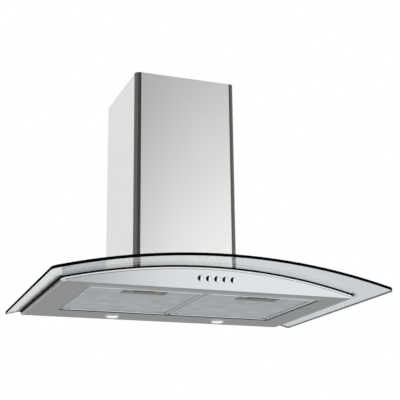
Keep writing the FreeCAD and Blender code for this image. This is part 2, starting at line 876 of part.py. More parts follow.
def make_lamps():
    bezels = []
    lenses = []
    bulbs = []
    cups = []
    for x in lamp_xs:
        centre = Vector(x, lamp_y, 0)
        ring = tube(centre - Z_AXIS * bezel_proud, Z_AXIS, bezel_proud, bezel_radius,
                    bezel_inner_radius)
        neck = tube(centre - Z_AXIS * bezel_proud, Z_AXIS, bezel_proud + bezel_depth,
                    lamp_hole_radius - 0.1, bezel_inner_radius)
        bezels.append(fuse([ring, neck]))

        sphere_radius = (lens_radius ** 2 + lens_dome ** 2) / (2 * lens_dome)
        low = -bezel_proud - 0.2
        disc = rod(centre + Z_AXIS * low, Z_AXIS, lens_thickness, lens_radius)
        ball = Part.makeSphere(sphere_radius, centre + Z_AXIS * (low - lens_dome + sphere_radius))
        cap = ball.common(rod(centre + Z_AXIS * (low - lens_dome), Z_AXIS, lens_dome,
                              lens_radius))
        lenses.append(fuse([disc, cap]))

        cup = rod(centre + Z_AXIS * sheet, Z_AXIS, cup_height, cup_radius)
        top = sheet + cup_height
        cup = cup.cut(rod(centre, Z_AXIS, top - cup_wall, cup_radius - cup_wall))
        cups.append(cup)
        bulb_top = top - cup_wall
        bulb = rod(centre + Z_AXIS * (bulb_top - bulb_length), Z_AXIS, bulb_length, bulb_radius)
        tip = [e for e in bulb.Edges if e.Closed and e.Vertexes[0].Z < bulb_top - 1]
        bulbs.append(bulb.makeFillet(bulb_radius * 0.6, tip))
    keep("lamp_bezels", Part.makeCompound(bezels))
    keep("lamp_lenses", Part.makeCompound(lenses))
    keep("lamp_cups", Part.makeCompound(cups))
    keep("lamp_bulbs", Part.makeCompound(bulbs))


# ---- motor box and blower ----

def wall_screw_places():
    """X and Z of the four wall screw holes."""
    places = []
    for sx in (-1, 1):
        for sz in (-1, 1):
            places.append((sx * wall_screw_spacing_x / 2,
                           wall_screw_centre_z + sz * wall_screw_spacing_z / 2))
    return places


def throat_block(inset, low, high):
    """The blower's outlet passage, inset from its outer faces."""
    half = scroll_half_width - inset
    left = blower_y + scroll_start_radius * math.cos(math.radians(scroll_start_angle)) + inset
    right = blower_y + scroll_end_radius - inset
    return box(-half, half, left, right, low, high)


def blower_screw_places():
    """X and Y of the screws that hold the scroll's flange to the box top."""
    half = scroll_half_width + scroll_flange
    throat = throat_block(0.0, 0, 1).BoundBox
    margin = scroll_flange / 2
    places = []
    for x in (-half, half):
        for y in (throat.YMin - margin, throat.YMax + margin):
            places.append((x, y))
    return places


def make_motor_box():
    outer = box(-box_half_width, box_half_width, box_front, 0, 0, box_top)
    inner = box(-box_half_width + box_sheet, box_half_width - box_sheet, box_front + box_sheet,
                -box_sheet, -1, box_top - box_sheet)
    shell = outer.cut(inner).cut(below_arch(body_top + seam))
    shell = shell.cut(throat_block(scroll_wall, box_top - 5, box_top + 5))
    for x, z in wall_screw_places():
        shell = shell.cut(rod(Vector(x, -5, z), Y_AXIS, 10, wall_screw_hole_radius))
    for x, y in blower_screw_places():
        shell = shell.cut(rod(Vector(x, y, box_top - 5), Z_AXIS, 10, blower_screw_radius))
    shell = shell.cut(rod(Vector(cable_x, cable_y, box_top - 5), Z_AXIS, 10, cable_hole_radius))
    screws = []
    for side in (-1, 1):
        inwards = Vector(-side, 0, 0)
        for y in box_screw_ys:
            seat_x = side * box_half_width
            if y == box_screw_ys[1]:
                seat_x += side * clip_sheet
            seat = Vector(seat_x, y, box_screw_z)
            screws.append(screw(seat, inwards, box_screw_length, box_screw_radius,
                                box_screw_head_radius, box_screw_head_height))
            shell = shell.cut(rod(seat, inwards, box_screw_length, box_screw_radius))
    keep("motor_box", shell)
    keep("motor_box_screws", Part.makeCompound(screws))


def scroll_solid(inset, half_width, top):
    """Volute body: a spiral about the blower axis that rises into the outlet."""
    start = math.radians(scroll_start_angle)
    grow = (scroll_end_radius - scroll_start_radius) / (2 * math.pi - start)
    throat_y = scroll_start_radius * math.cos(start) + inset
    first = math.acos(throat_y / (scroll_start_radius - inset))
    points = []
    for i in range(scroll_points):
        angle = first + (2 * math.pi - first) * i / (scroll_points - 1)
        radius = scroll_start_radius - inset + grow * max(angle - start, 0.0)
        if i == scroll_points - 1:
            radius = scroll_end_radius - inset
        points.append(Vector(-half_width, blower_y + radius * math.cos(angle),
                             blower_z + radius * math.sin(angle)))
    spiral = Part.BSplineCurve()
    spiral.interpolate(points)
    end_top = Vector(-half_width, points[-1].y, top)
    start_top = Vector(-half_width, points[0].y, top)
    outline = Part.Wire([
        spiral.toShape(),
        Part.makeLine(points[-1], end_top),
        Part.makeLine(end_top, start_top),
        Part.makeLine(start_top, points[0]),
    ])
    return Part.Face(outline).extrude(Vector(2 * half_width, 0, 0))


def make_scroll():
    top = box_top - box_sheet - scroll_seat_gap
    outer = scroll_solid(0.0, scroll_half_width, top)
    inner = scroll_solid(scroll_wall, scroll_half_width - scroll_wall, top + 5)
    throat = throat_block(0.0, top - scroll_flange_thickness, top).BoundBox
    half_flange = scroll_half_width + 1.5 * scroll_flange
    flange = box(-half_flange, half_flange, throat.YMin - scroll_flange,
                 throat.YMax + scroll_flange, throat.ZMin, top)
    scroll = fuse([outer, flange]).cut(inner)
    axis_start = Vector(-tall, blower_y, blower_z)
    scroll = scroll.cut(rod(axis_start, X_AXIS, 2 * tall, scroll_inlet_radius))
    screws = []
    for x, y in blower_screw_places():
        seat = Vector(x, y, throat.ZMin)
        screws.append(screw(seat, Z_AXIS, box_top - throat.ZMin, blower_screw_radius,
                            blower_screw_head_radius, blower_screw_head_height))
        scroll = scroll.cut(rod(seat - Z_AXIS, Z_AXIS, 10, blower_screw_radius))
    for x, y, z in motor_screw_places():
        hole = rod(Vector(x, y, z), X_AXIS, bracket_screw_length, bracket_screw_radius)
        scroll = scroll.cut(hole)
    keep("blower_scroll_left", scroll.common(box(-tall, 0, -reach, reach, -reach, reach)))
    keep("blower_scroll_right", scroll.common(box(0, tall, -reach, reach, -reach, reach)))
    keep("blower_screws", Part.makeCompound(screws))


def motor_screw_places():
    """Seats of the screws that hold the motor bracket to the scroll's left wall."""
    seats = []
    ring_middle = (bracket_ring_outer + bracket_ring_inner) / 2
    for angle in (90, 210, 330):
        turn = math.radians(angle)
        seats.append((-scroll_half_width - bracket_plate,
                      blower_y + ring_middle * math.cos(turn),
                      blower_z + ring_middle * math.sin(turn)))
    return seats


def make_motor():
    axis = Vector(0, blower_y, blower_z)
    body = rod(axis + X_AXIS * motor_left, X_AXIS, motor_length, motor_radius)
    ends = [e for e in body.Edges if e.Closed]
    body = body.makeFillet(3.0, ends)
    bore = rod(axis - X_AXIS * tall, X_AXIS, 2 * tall, shaft_radius + shaft_clearance)
    keep("motor", body.cut(bore))

    shaft_start = impeller_disc_x + impeller_hub_length / 2 - shaft_length
    shaft = rod(axis + X_AXIS * shaft_start, X_AXIS, shaft_length, shaft_radius)
    keep("motor_shaft", shaft)

    plate_x = -scroll_half_width - bracket_plate
    start = axis + X_AXIS * plate_x
    ring = tube(start, X_AXIS, bracket_plate, bracket_ring_outer, bracket_ring_inner)
    hub = tube(start, X_AXIS, bracket_plate, motor_radius + bracket_hub_wall, motor_radius)
    parts = [ring, hub]
    for angle in (90, 210, 330):
        arm = box(plate_x, plate_x + bracket_plate, motor_radius + bracket_hub_wall / 2,
                  bracket_ring_inner + 3, -bracket_arm_width / 2, bracket_arm_width / 2)
        arm.rotate(Vector(0, 0, 0), X_AXIS, angle)
        arm.translate(axis)
        parts.append(arm)
    bracket = fuse(parts)
    screws = []
    for x, y, z in motor_screw_places():
        seat = Vector(x, y, z)
        screws.append(screw(seat, X_AXIS, bracket_screw_length, bracket_screw_radius,
                            bracket_screw_head_radius, bracket_screw_head_height))
        bracket = bracket.cut(rod(seat, X_AXIS, bracket_screw_length, bracket_screw_radius))
    keep("motor_bracket", bracket)
    keep("motor_screws", Part.makeCompound(screws))


def make_impeller():
    axis = Vector(0, blower_y, blower_z)
    disc_x = impeller_disc_x
    inner = impeller_radius - impeller_blade_depth
    disc = rod(Vector(disc_x, 0, 0), X_AXIS, impeller_ring, impeller_radius - 1)
    hub_start = disc_x - impeller_hub_length / 2
    hub = rod(Vector(hub_start, 0, 0), X_AXIS, impeller_hub_length, impeller_hub_radius)
    parts = [disc, hub]
    for x in (-impeller_half_width, impeller_half_width - impeller_ring):
        parts.append(tube(Vector(x, 0, 0), X_AXIS, impeller_ring, impeller_radius, inner))
    for i in range(impeller_blades):
        half = impeller_blade_thickness / 2
        blade = box(-impeller_half_width + 0.5, impeller_half_width - 0.5,
                    inner + 1.5, impeller_radius - 1.0, -half, half)
        blade.rotate(Vector(0, impeller_radius - impeller_blade_depth / 2, 0), X_AXIS,
                     impeller_blade_angle)
        blade.rotate(Vector(0, 0, 0), X_AXIS, 360.0 * i / impeller_blades)
        parts.append(blade)
    wheel = fuse(parts)
    wheel = wheel.cut(rod(Vector(-tall, 0, 0), X_AXIS, 2 * tall, shaft_radius))
    wheel.translate(axis)
    keep("impeller", wheel)


# ---- outlet and damper ----

flap_z = box_top + flap_height
outlet_inner = outlet_radius - outlet_wall


def make_outlet():
    base = Vector(0, outlet_y, box_top)
    spigot = tube(base, Z_AXIS, outlet_height, outlet_radius, outlet_inner)
    flange = tube(base, Z_AXIS, outlet_flange_thickness, outlet_flange_radius, outlet_inner)
    stop_top = flap_z - flap_thickness / 2 - flap_stop_gap
    stop = tube(Vector(0, outlet_y, stop_top - flap_stop_thickness), Z_AXIS,
                flap_stop_thickness, outlet_inner + 0.5, outlet_inner - flap_stop)
    collar = fuse([spigot, flange, stop])
    pins = []
    for sign in (-1, 1):
        pin_y = outlet_y + sign * flap_axis_offset
        half = outlet_radius - flap_pin_end_gap
        start = Vector(-half, pin_y, flap_z)
        pins.append(rod(start, X_AXIS, 2 * half, flap_pin_radius))
        collar = collar.cut(rod(start - X_AXIS * 5, X_AXIS, 2 * half + 10,
                                flap_pin_radius + flap_pin_clearance))
    keep("outlet_collar", collar)
    keep("damper_pins", Part.makeCompound(pins))


def make_flap(name, sign):
    pin_y = outlet_y + sign * flap_axis_offset
    disc = rod(Vector(0, outlet_y, flap_z - flap_thickness / 2), Z_AXIS, flap_thickness,
               outlet_inner - flap_edge_gap)
    near = min(pin_y, pin_y + sign * reach)
    far = max(pin_y, pin_y + sign * reach)
    half_disc = disc.common(box(-reach, reach, near, far, 0, reach))
    knuckle = rod(Vector(-flap_knuckle_half_length, pin_y, flap_z), X_AXIS,
                  2 * flap_knuckle_half_length, flap_knuckle_radius)
    bore = rod(Vector(-reach, pin_y, flap_z), X_AXIS, 2 * reach,
               flap_pin_radius + flap_pin_clearance)
    flap = fuse([half_disc, knuckle]).cut(bore)
    # the plate beside the knuckle ends short of the bore, so that no sliver is left there
    for side in (-1, 1):
        end = side * flap_knuckle_half_length
        trim = box(min(end, side * reach), max(end, side * reach),
                   pin_y - flap_knuckle_radius, pin_y + flap_knuckle_radius, 0, reach)
        flap = flap.cut(trim)
    keep(name, flap)


# ---- electrical parts ----

def make_electrics():
    x0 = junction_x - junction_length / 2
    x1 = x0 + junction_length
    y0 = junction_y - junction_width / 2
    y1 = y0 + junction_width
    z1 = box_top + junction_height
    case = box(x0, x1, y0, y1, box_top, z1)
    case = case.cut(box(x0 + junction_wall, x1 - junction_wall, y0 + junction_wall,
                        y1 - junction_wall, box_top + junction_wall, z1 + 1))
    case = case.cut(rod(Vector(cable_x, cable_y, box_top - 1), Z_AXIS, 5, cable_hole_radius))
    gland = Vector(x1, junction_y, box_top + grommet_z)
    case = case.cut(rod(gland - X_AXIS * 5, X_AXIS, 10, grommet_neck))
    keep("junction_box", case)

    lid = box(x0, x1, y0, y1, z1, z1 + junction_lid_thickness)
    rim_gap = junction_wall + mesh_clearance
    rim = box(x0 + rim_gap, x1 - rim_gap, y0 + rim_gap, y1 - rim_gap, z1 - junction_lip, z1)
    inset = rim_gap + junction_wall
    rim = rim.cut(box(x0 + inset, x1 - inset, y0 + inset, y1 - inset, z1 - 10, z1))
    keep("junction_lid", fuse([lid, rim]))

    flange = grommet_flange_thickness
    start = gland - X_AXIS * (junction_wall + flange)
    neck = rod(start, X_AXIS, junction_wall + 2 * flange, grommet_neck)
    inner_flange = rod(start, X_AXIS, flange, grommet_flange)
    outer_flange = rod(gland, X_AXIS, flange, grommet_flange)
    bore = rod(start - X_AXIS, X_AXIS, 20, grommet_bore)
    keep("cable_grommet", fuse([neck, inner_flange, outer_flange]).cut(bore))

    foot = rod(Vector(capacitor_x, capacitor_y, box_top), Z_AXIS, capacitor_foot_height,
               capacitor_foot_radius)
    can = rod(Vector(capacitor_x, capacitor_y, box_top + capacitor_foot_height), Z_AXIS,
              capacitor_length, capacitor_radius)
    can = can.makeFillet(2.0, [e for e in can.Edges if e.Closed])
    keep("capacitor", fuse([foot, can]))


def bend_path(points):
    """Straight runs joined by tangent arcs, each as large as its two runs allow."""
    edges = []
    last = points[0]
    radii = []
    for before, corner, after in zip(points, points[1:], points[2:]):
        back = (before - corner).normalize()
        ahead = (after - corner).normalize()
        turn = math.pi - back.getAngle(ahead)
        shorter = min((before - corner).Length, (after - corner).Length)
        trim = 0.45 * shorter
        radii.append(trim / math.tan(turn / 2))
        arc_start = corner + back * trim
        arc_end = corner + ahead * trim
        middle_way = (back + ahead).normalize()
        centre_distance = math.hypot(trim, radii[-1])
        arc_middle = corner + middle_way * (centre_distance - radii[-1])
        edges.append(Part.makeLine(last, arc_start))
        edges.append(Part.Arc(arc_start, arc_middle, arc_end).toShape())
        last = arc_end
    edges.append(Part.makeLine(last, points[-1]))
    return Part.Wire(edges), radii


def cable_points():
    """Route of the switch cable, from inside the junction box to the back of the switch bank."""
    bank_back = on_fascia(Part.Vertex(Vector(cable_bank_x, bank_front + bank_depth, 0))).Point
    inwards = Vector(0, math.cos(math.radians(lean_angle)), math.sin(math.radians(lean_angle)))
    top = Vector(cable_x, cable_y, box_top + 3 * junction_wall)
    drop = (top.z - cable_turn_z) / 4
    return [
        top,
        top - Z_AXIS * drop,
        top + Vector(2, 3, -2 * drop),
        top + Vector(0, 6, -3 * drop),
        Vector(cable_x - 3, cable_y + 6, cable_turn_z),
        Vector(cable_x - 10, cable_y - 38, 19),
        Vector(cable_x - 24, cable_y - 85, 19),
        Vector(cable_x - 38, cable_y - 133, 25),
        bank_back + inwards * 20,
        bank_back,
    ]


cable_bank_x = 24.0


def make_cable():
    path, radii = bend_path(cable_points())
    first = cable_points()[0]
    section = Part.Wire(Part.makeCircle(cable_radius, first, Vector(0, 0, -1)))
    cable = path.makePipeShell([section], True, False)
    print("switch cable length", round(path.Length, 1), "bends", [round(r, 1) for r in radii])
    expected = math.pi * cable_radius ** 2 * path.Length
    print("switch cable volume over section times length", round(cable.Volume / expected, 4))
    keep("switch_cable", cable)


# ---- chimney ----

def cover(half, front, corner, low, high, back):
    """Chimney cover: a folded U with rounded front corners and short returns at the wall."""
    outer = box(-half, half, front, back, low, high)
    outer = outer.makeFillet(corner, vertical_edges(outer, lambda p: p.y < front + 1))
    inner_half = half - chimney_sheet
    inner_front = front + chimney_sheet
    inner = box(-inner_half, inner_half, inner_front, back - chimney_sheet, low - 1, high + 1)
    inner = inner.makeFillet(corner - chimney_sheet,
                             vertical_edges(inner, lambda p: p.y < inner_front + 1))
    open_back = half - chimney_return
    return outer.cut(inner).cut(box(-open_back, open_back, back - 2, back + 2, low - 1, high + 1))


upper_half = chimney_width / 2 - chimney_sheet - cover_gap
upper_front = -chimney_depth + chimney_sheet + cover_gap
upper_back = -chimney_sheet - cover_gap
upper_top = chimney_top - upper_top_gap


def make_chimney():
    lower = cover(chimney_width / 2, -chimney_depth, chimney_corner, 0, chimney_top, 0.0)
    keep("chimney_lower", lower.cut(below_arch(glass_thickness + chimney_glass_gap)))

    upper = cover(upper_half, upper_front, chimney_corner - chimney_sheet - cover_gap,
                  upper_bottom, upper_top, upper_back)
    for side in (-1, 1):
        start = Vector(side * (upper_half + 5), cover_screw_y, ceiling_middle_z)
        upper = upper.cut(rod(start, Vector(-side, 0, 0), 20, cover_screw_hole_radius))
    keep("chimney_upper", upper)

    clips = []
    inner_wall = chimney_width / 2 - chimney_sheet - clip_gap
    low = box_screw_z - clip_height / 2
    y0 = box_screw_ys[1] - clip_width / 2
    y1 = y0 + clip_width
    foot = box(box_half_width, box_half_width + clip_sheet, y0, y1, low, low + clip_height)
    web = box(box_half_width, inner_wall, y0, y0 + clip_sheet, low, low + clip_height)
    pad = box(inner_wall - clip_sheet, inner_wall, y0, y1, low, low + clip_height)
    clip = fuse([foot, web, pad])
    hole = rod(Vector(box_half_width - 5, box_screw_ys[1], box_screw_z), X_AXIS, 12,
               box_screw_radius)
    clip = clip.cut(hole)
    clips = [clip, mirror_x(clip)]
    keep("chimney_clips", Part.makeCompound(clips))


ceiling_middle_z = ceiling_bracket_low + ceiling_bracket_height / 2
cover_screw_y = -ceiling_arm - ceiling_tab / 2


def make_ceiling_bracket():
    t = ceiling_bracket_sheet
    half = upper_half - ceiling_bracket_margin
    low = ceiling_bracket_low
    high = low + ceiling_bracket_height
    tab_x = upper_half - chimney_sheet
    plate = box(-half, half, -t, 0, low, high)
    parts = [plate]
    for side in (-1, 1):
        arm = box(half - t, half, -ceiling_arm, 0, low, high)
        step = box(half - t, tab_x, -ceiling_arm - t, -ceiling_arm, low, high)
        tab = box(tab_x - t, tab_x, -ceiling_arm - ceiling_tab, -ceiling_arm, low, high)
        for part in (arm, step, tab):
            parts.append(part if side > 0 else mirror_x(part))
    bracket = fuse(parts)
    for side in (-1, 1):
        hole = rod(Vector(side * ceiling_screw_spacing / 2, -5, ceiling_middle_z), Y_AXIS, 10,
                   ceiling_screw_hole_radius)
        bracket = bracket.cut(hole)
        start = Vector(side * (tab_x + 5), cover_screw_y, ceiling_middle_z)
        bracket = bracket.cut(rod(start, Vector(-side, 0, 0), 20, cover_screw_hole_radius))
    keep("ceiling_bracket", bracket)
    screws = []
    for side in (-1, 1):
        seat = Vector(side * (tab_x - t), cover_screw_y, ceiling_middle_z)
        screws.append(screw(seat, Vector(side, 0, 0), t + chimney_sheet, cover_screw_radius,
                            cover_screw_head_radius, cover_screw_head_height))
    keep("cover_screws", Part.makeCompound(screws))


def main():
    make_glass()
    make_gasket()
    make_glass_fixings()
    make_pan_and_fascia()
    make_deck()
    make_rail()
    for side in filter_lefts:
        make_filter(side)
    make_hangers()
    make_buttons()
    make_switch_bank()
    make_lamps()
    make_motor_box()
    make_scroll()
    make_motor()
    make_impeller()
    make_outlet()
    make_flap("damper_flap_front", -1)
    make_flap("damper_flap_back", 1)
    make_electrics()
    make_cable()
    make_chimney()
    make_ceiling_bracket()
    os.makedirs("parts", exist_ok=True)
    for name, shape in pieces.items():
        shape.exportStep("parts/%s.step" % name)
        print(name, len(shape.Solids), "solids, valid", shape.isValid(),
              "volume", round(shape.Volume, 1))


main()
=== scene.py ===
# Curved glass range hood: finishes, filter and button details, studio and camera
import json
import math

import bpy
import numpy as np
from mathutils import Matrix, Vector


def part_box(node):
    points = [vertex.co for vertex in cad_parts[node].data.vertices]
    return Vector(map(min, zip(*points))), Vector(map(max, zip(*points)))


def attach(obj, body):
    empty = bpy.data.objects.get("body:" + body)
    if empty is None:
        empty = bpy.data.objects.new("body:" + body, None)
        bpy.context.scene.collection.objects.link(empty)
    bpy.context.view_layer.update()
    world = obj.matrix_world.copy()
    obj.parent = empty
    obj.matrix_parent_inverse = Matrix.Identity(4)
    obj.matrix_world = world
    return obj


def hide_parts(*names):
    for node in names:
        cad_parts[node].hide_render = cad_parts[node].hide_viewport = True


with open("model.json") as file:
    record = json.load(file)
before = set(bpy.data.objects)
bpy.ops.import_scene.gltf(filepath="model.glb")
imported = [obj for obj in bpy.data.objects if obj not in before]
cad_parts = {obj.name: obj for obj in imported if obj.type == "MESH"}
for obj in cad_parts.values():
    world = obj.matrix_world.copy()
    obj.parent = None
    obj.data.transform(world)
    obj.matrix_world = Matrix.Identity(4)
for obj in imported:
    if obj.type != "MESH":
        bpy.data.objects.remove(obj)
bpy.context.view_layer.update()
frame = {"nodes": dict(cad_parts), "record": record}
nodes = frame["nodes"]
print("frame loaded:", len(nodes), "nodes")

# camera found from the photo's vanishing lines
camera = {
    "place": (-0.6960, -2.1826, -0.3755),
    "yaw": 20.50,       # degrees from the wall's normal towards the right
    "rise": 16.40,      # looking up
    "roll": -0.628,
    "focalPixels": 972.74,
    "framePixels": 400,
    "sensor": 36.0,
    "farClip": 60.0,
}


def makeCamera():
    yaw, rise, roll = (math.radians(camera[k]) for k in ("yaw", "rise", "roll"))
    ahead = Vector((math.sin(yaw) * math.cos(rise), math.cos(yaw) * math.cos(rise), math.sin(rise)))
    level = Vector((math.cos(yaw), -math.sin(yaw), 0.0))
    above = level.cross(ahead)
    right = level * math.cos(roll) + above * math.sin(roll)
    top = above * math.cos(roll) - level * math.sin(roll)
    data = bpy.data.cameras.new("photoCamera")
    data.sensor_width = camera["sensor"]
    data.lens = camera["sensor"] * camera["focalPixels"] / camera["framePixels"]
    data.clip_end = camera["farClip"]
    eye = bpy.data.objects.new("photoCamera", data)
    turn = Matrix((right, top, -ahead)).transposed().to_4x4()
    eye.matrix_world = Matrix.Translation(camera["place"]) @ turn
    bpy.context.scene.collection.objects.link(eye)
    bpy.context.scene.camera = eye


makeCamera()
print("camera placed")


def tone(code):
    # sRGB hex to linear: c/12.92 up to 0.04045, above it ((c + 0.055)/1.055)^2.4
    values = [int(code[i:i + 2], 16) / 255 for i in (1, 3, 5)]
    return tuple(c / 12.92 if c <= 0.04045 else ((c + 0.055) / 1.055) ** 2.4 for c in values) + (1.0,)


def addNode(tree, kind, settings=None, links=None):
    node = tree.nodes.new(kind)
    for key, value in (settings or {}).items():
        if isinstance(key, str) and hasattr(node, key):
            setattr(node, key, value)
        else:
            node.inputs[key].default_value = value
    for key, source in (links or {}).items():
        tree.links.new(source, node.inputs[key])
    return node


def newMaterial(name):
    material = bpy.data.materials.new(name)
    material.use_nodes = True
    material.node_tree.nodes.clear()
    place = addNode(material.node_tree, "ShaderNodeTexCoord")
    return material, material.node_tree, place


def closeMaterial(tree, shader):
    addNode(tree, "ShaderNodeOutputMaterial", {}, {"Surface": shader.outputs[0]})


# Satin stainless sheet, belt brushed: fine lines blur the reflections across them.
grain = {
    "lineWidth": 0.0004,      # real lines are 0.1 to 0.4 mm wide
    "lineLength": 0.070,
    "lineDepth": 0.000002,
    "roughLow": 0.22,
    "roughHigh": 0.28,
    "clouds": 6.0,            # soft patches about 170 mm across
    "uneven": 0.015,          # what the patches add to the roughness or take from it
}
# Each sheet: the way it is brushed, its tones, and what the photo shows on it alone.
# the three sheets are one stainless; besides their brushing, their tones are set apart as painted
# light and shade: lightest on the chimney, darkest on the pan
steelLooks = {
    # painted reflection: the chimney's corner tone darkens its bends and a strip of its lower cover
    "chimney": {"along": "Z", "light": "#f5f5f3", "dark": "#f0f0ee", "corner": "#62605e",
                "cornerX": 0.1060, "cornerY": -0.2230, "bendStart": 0.03, "bendFull": 0.12},
    # painted shade: the pan's wall tone darkens its leaning side walls
    "pan": {"along": "X", "light": "#e4e6e7", "dark": "#dee0e1", "wall": "#6a6964",
            "wallStart": 0.35, "wallFull": 0.60},
    # painted highlight and shade: the roll tone lightens the rolled top edge, the crease tone darkens
    # a line along the crease
    "fascia": {"along": "X", "light": "#eef0f3", "dark": "#e8eaed", "creaseShade": "#8b8e92",
               "roll": "#fbfcfd", "archCentre": (0.0, 0.0, -1.310),
               "creaseRadius": 1.3478,      # the top edge is rolled over above this line
               "creaseWidth": 0.0011},
}
noiseLow, noiseHigh = 0.3, 0.7    # nearly all of a noise pattern's values lie between these


def brushedStainless(name):
    look = steelLooks[name]
    material, tree, place = newMaterial(name + "Stainless")
    scale = [1.0 / grain["lineWidth"]] * 3
    scale["XYZ".index(look["along"])] = 1.0 / grain["lineLength"]
    drawn = addNode(tree, "ShaderNodeMapping", {"Scale": scale}, {"Vector": place.outputs["Object"]})
    lines = addNode(tree, "ShaderNodeTexNoise", {"Scale": 1.0, "Detail": 2.0, "Roughness": 0.6},
                    {"Vector": drawn.outputs[0]})
    clouds = addNode(tree, "ShaderNodeTexNoise", {"Scale": grain["clouds"], "Detail": 2.0},
                     {"Vector": place.outputs["Object"]})
    colour = addNode(tree, "ShaderNodeMix", {"data_type": "RGBA", 6: tone(look["dark"]),
                                             7: tone(look["light"])}, {0: lines.outputs[0]})
    if "corner" in look:
        # painted reflection: the bent corners are painted darker; the bend is where the normal has
        # both an x and a y part
        side = addNode(tree, "ShaderNodeSeparateXYZ", {}, {"Vector": place.outputs["Normal"]})
        both = addNode(tree, "ShaderNodeMath", {"operation": "MULTIPLY"},
                       {0: side.outputs[0], 1: side.outputs[1]})
        size = addNode(tree, "ShaderNodeMath", {"operation": "ABSOLUTE"}, {0: both.outputs[0]})
        bend = addNode(tree, "ShaderNodeMapRange", {1: look["bendStart"], 2: look["bendFull"]},
                       {0: size.outputs[0]})
        # on the lower cover the painted dark band starts just before the bend
        where = addNode(tree, "ShaderNodeSeparateXYZ", {}, {"Vector": place.outputs["Object"]})
        out = addNode(tree, "ShaderNodeMath", {"operation": "ABSOLUTE"}, {0: where.outputs[0]})
        wide = addNode(tree, "ShaderNodeMath", {"operation": "GREATER_THAN", 1: look["cornerX"]},
                       {0: out.outputs[0]})
        front = addNode(tree, "ShaderNodeMath", {"operation": "LESS_THAN", 1: look["cornerY"]},
                        {0: where.outputs[1]})
        strip = addNode(tree, "ShaderNodeMath", {"operation": "MULTIPLY"},
                        {0: wide.outputs[0], 1: front.outputs[0]})
        paintedReflectionBand = addNode(tree, "ShaderNodeMath", {"operation": "MAXIMUM"},
                       {0: strip.outputs[0], 1: bend.outputs[0]})
        colour = addNode(tree, "ShaderNodeMix", {"data_type": "RGBA", 7: tone(look["corner"])},
                         {0: paintedReflectionBand.outputs[0], 6: colour.outputs[2]})
    if "wall" in look:
        # the leaning side walls stand in the shade of the glass: their normal has an x part
        side = addNode(tree, "ShaderNodeSeparateXYZ", {}, {"Vector": place.outputs["Normal"]})
        out = addNode(tree, "ShaderNodeMath", {"operation": "ABSOLUTE"}, {0: side.outputs[0]})
        wall = addNode(tree, "ShaderNodeMapRange", {1: look["wallStart"], 2: look["wallFull"]},
                       {0: out.outputs[0]})
        colour = addNode(tree, "ShaderNodeMix", {"data_type": "RGBA", 7: tone(look["wall"])},
                         {0: wall.outputs[0], 6: colour.outputs[2]})
    # painted highlight above the crease radius, where the top edge is rolled over, and a painted shade
    # line along the crease
    if "creaseShade" in look:
        # distance from the arch's axis: the length of (x, 0, z) minus the arch's centre
        flat = addNode(tree, "ShaderNodeVectorMath", {"operation": "MULTIPLY", 1: (1.0, 0.0, 1.0)},
                       {0: place.outputs["Object"]})
        away = addNode(tree, "ShaderNodeVectorMath", {"operation": "DISTANCE", 1: look["archCentre"]},
                       {0: flat.outputs[0]})
        above = addNode(tree, "ShaderNodeMath", {"operation": "SUBTRACT", 1: look["creaseRadius"]},
                        {0: away.outputs[1]})
        rollHighlight = addNode(tree, "ShaderNodeMapRange", {1: 0.0, 2: look["creaseWidth"]},
                         {0: above.outputs[0]})
        near = addNode(tree, "ShaderNodeMath", {"operation": "ABSOLUTE"}, {0: above.outputs[0]})
        line = addNode(tree, "ShaderNodeMapRange", {1: 0.0, 2: look["creaseWidth"], 3: 1.0, 4: 0.0},
                       {0: near.outputs[0]})
        colour = addNode(tree, "ShaderNodeMix", {"data_type": "RGBA", 7: tone(look["roll"])},
                         {0: rollHighlight.outputs[0], 6: colour.outputs[2]})
        colour = addNode(tree, "ShaderNodeMix", {"data_type": "RGBA", 7: tone(look["creaseShade"])},
                         {0: line.outputs[0], 6: colour.outputs[2]})
    shine = addNode(tree, "ShaderNodeMapRange", {3: grain["roughLow"], 4: grain["roughHigh"]},
                    {0: lines.outputs[0]})
    uneven = addNode(tree, "ShaderNodeMapRange", {1: noiseLow, 2: noiseHigh, 3: -grain["uneven"],
                                                  4: grain["uneven"]}, {0: clouds.outputs[0]})
    rough = addNode(tree, "ShaderNodeMath", {"operation": "ADD"},
                    {0: shine.outputs[0], 1: uneven.outputs[0]})
    relief = addNode(tree, "ShaderNodeBump", {"Strength": 0.3, "Distance": grain["lineDepth"]},
                     {"Height": lines.outputs[0]})
    shader = addNode(tree, "ShaderNodeBsdfPrincipled", {"Metallic": 1.0}, {
        "Base Color": colour.outputs[2], "Roughness": rough.outputs[0], "Normal": relief.outputs[0]})
    closeMaterial(tree, shader)
    return material


# Hot-dip zinc coated sheet: a dull spangle of crystals about 7 mm across, over faint ripples.
zinc = {"dark": "#aab0b3", "light": "#c3c8ca", "crystal": 0.007, "roughLow": 0.34, "roughHigh": 0.50,
        "ripples": 60.0, "rippleDepth": 0.00004}


def zincCoatedSheet():
    material, tree, place = newMaterial("zincCoatedSheet")
    cells = addNode(tree, "ShaderNodeTexVoronoi", {"Scale": 1.0 / zinc["crystal"]},
                    {"Vector": place.outputs["Object"]})
    crystal = addNode(tree, "ShaderNodeSeparateColor", {}, {"Color": cells.outputs["Color"]})
    film = addNode(tree, "ShaderNodeTexNoise", {"Scale": zinc["ripples"], "Detail": 3.0},
                   {"Vector": place.outputs["Object"]})
    colour = addNode(tree, "ShaderNodeMix", {"data_type": "RGBA", 6: tone(zinc["dark"]),
                                             7: tone(zinc["light"])}, {0: crystal.outputs[0]})
    rough = addNode(tree, "ShaderNodeMapRange", {3: zinc["roughLow"], 4: zinc["roughHigh"]},
                    {0: crystal.outputs[0]})
    relief = addNode(tree, "ShaderNodeBump", {"Strength": 0.2, "Distance": zinc["rippleDepth"]},
                     {"Height": film.outputs[0]})
    shader = addNode(tree, "ShaderNodeBsdfPrincipled", {"Metallic": 1.0}, {
        "Base Color": colour.outputs[2], "Roughness": rough.outputs[0], "Normal": relief.outputs[0]})
    closeMaterial(tree, shader)
    return material


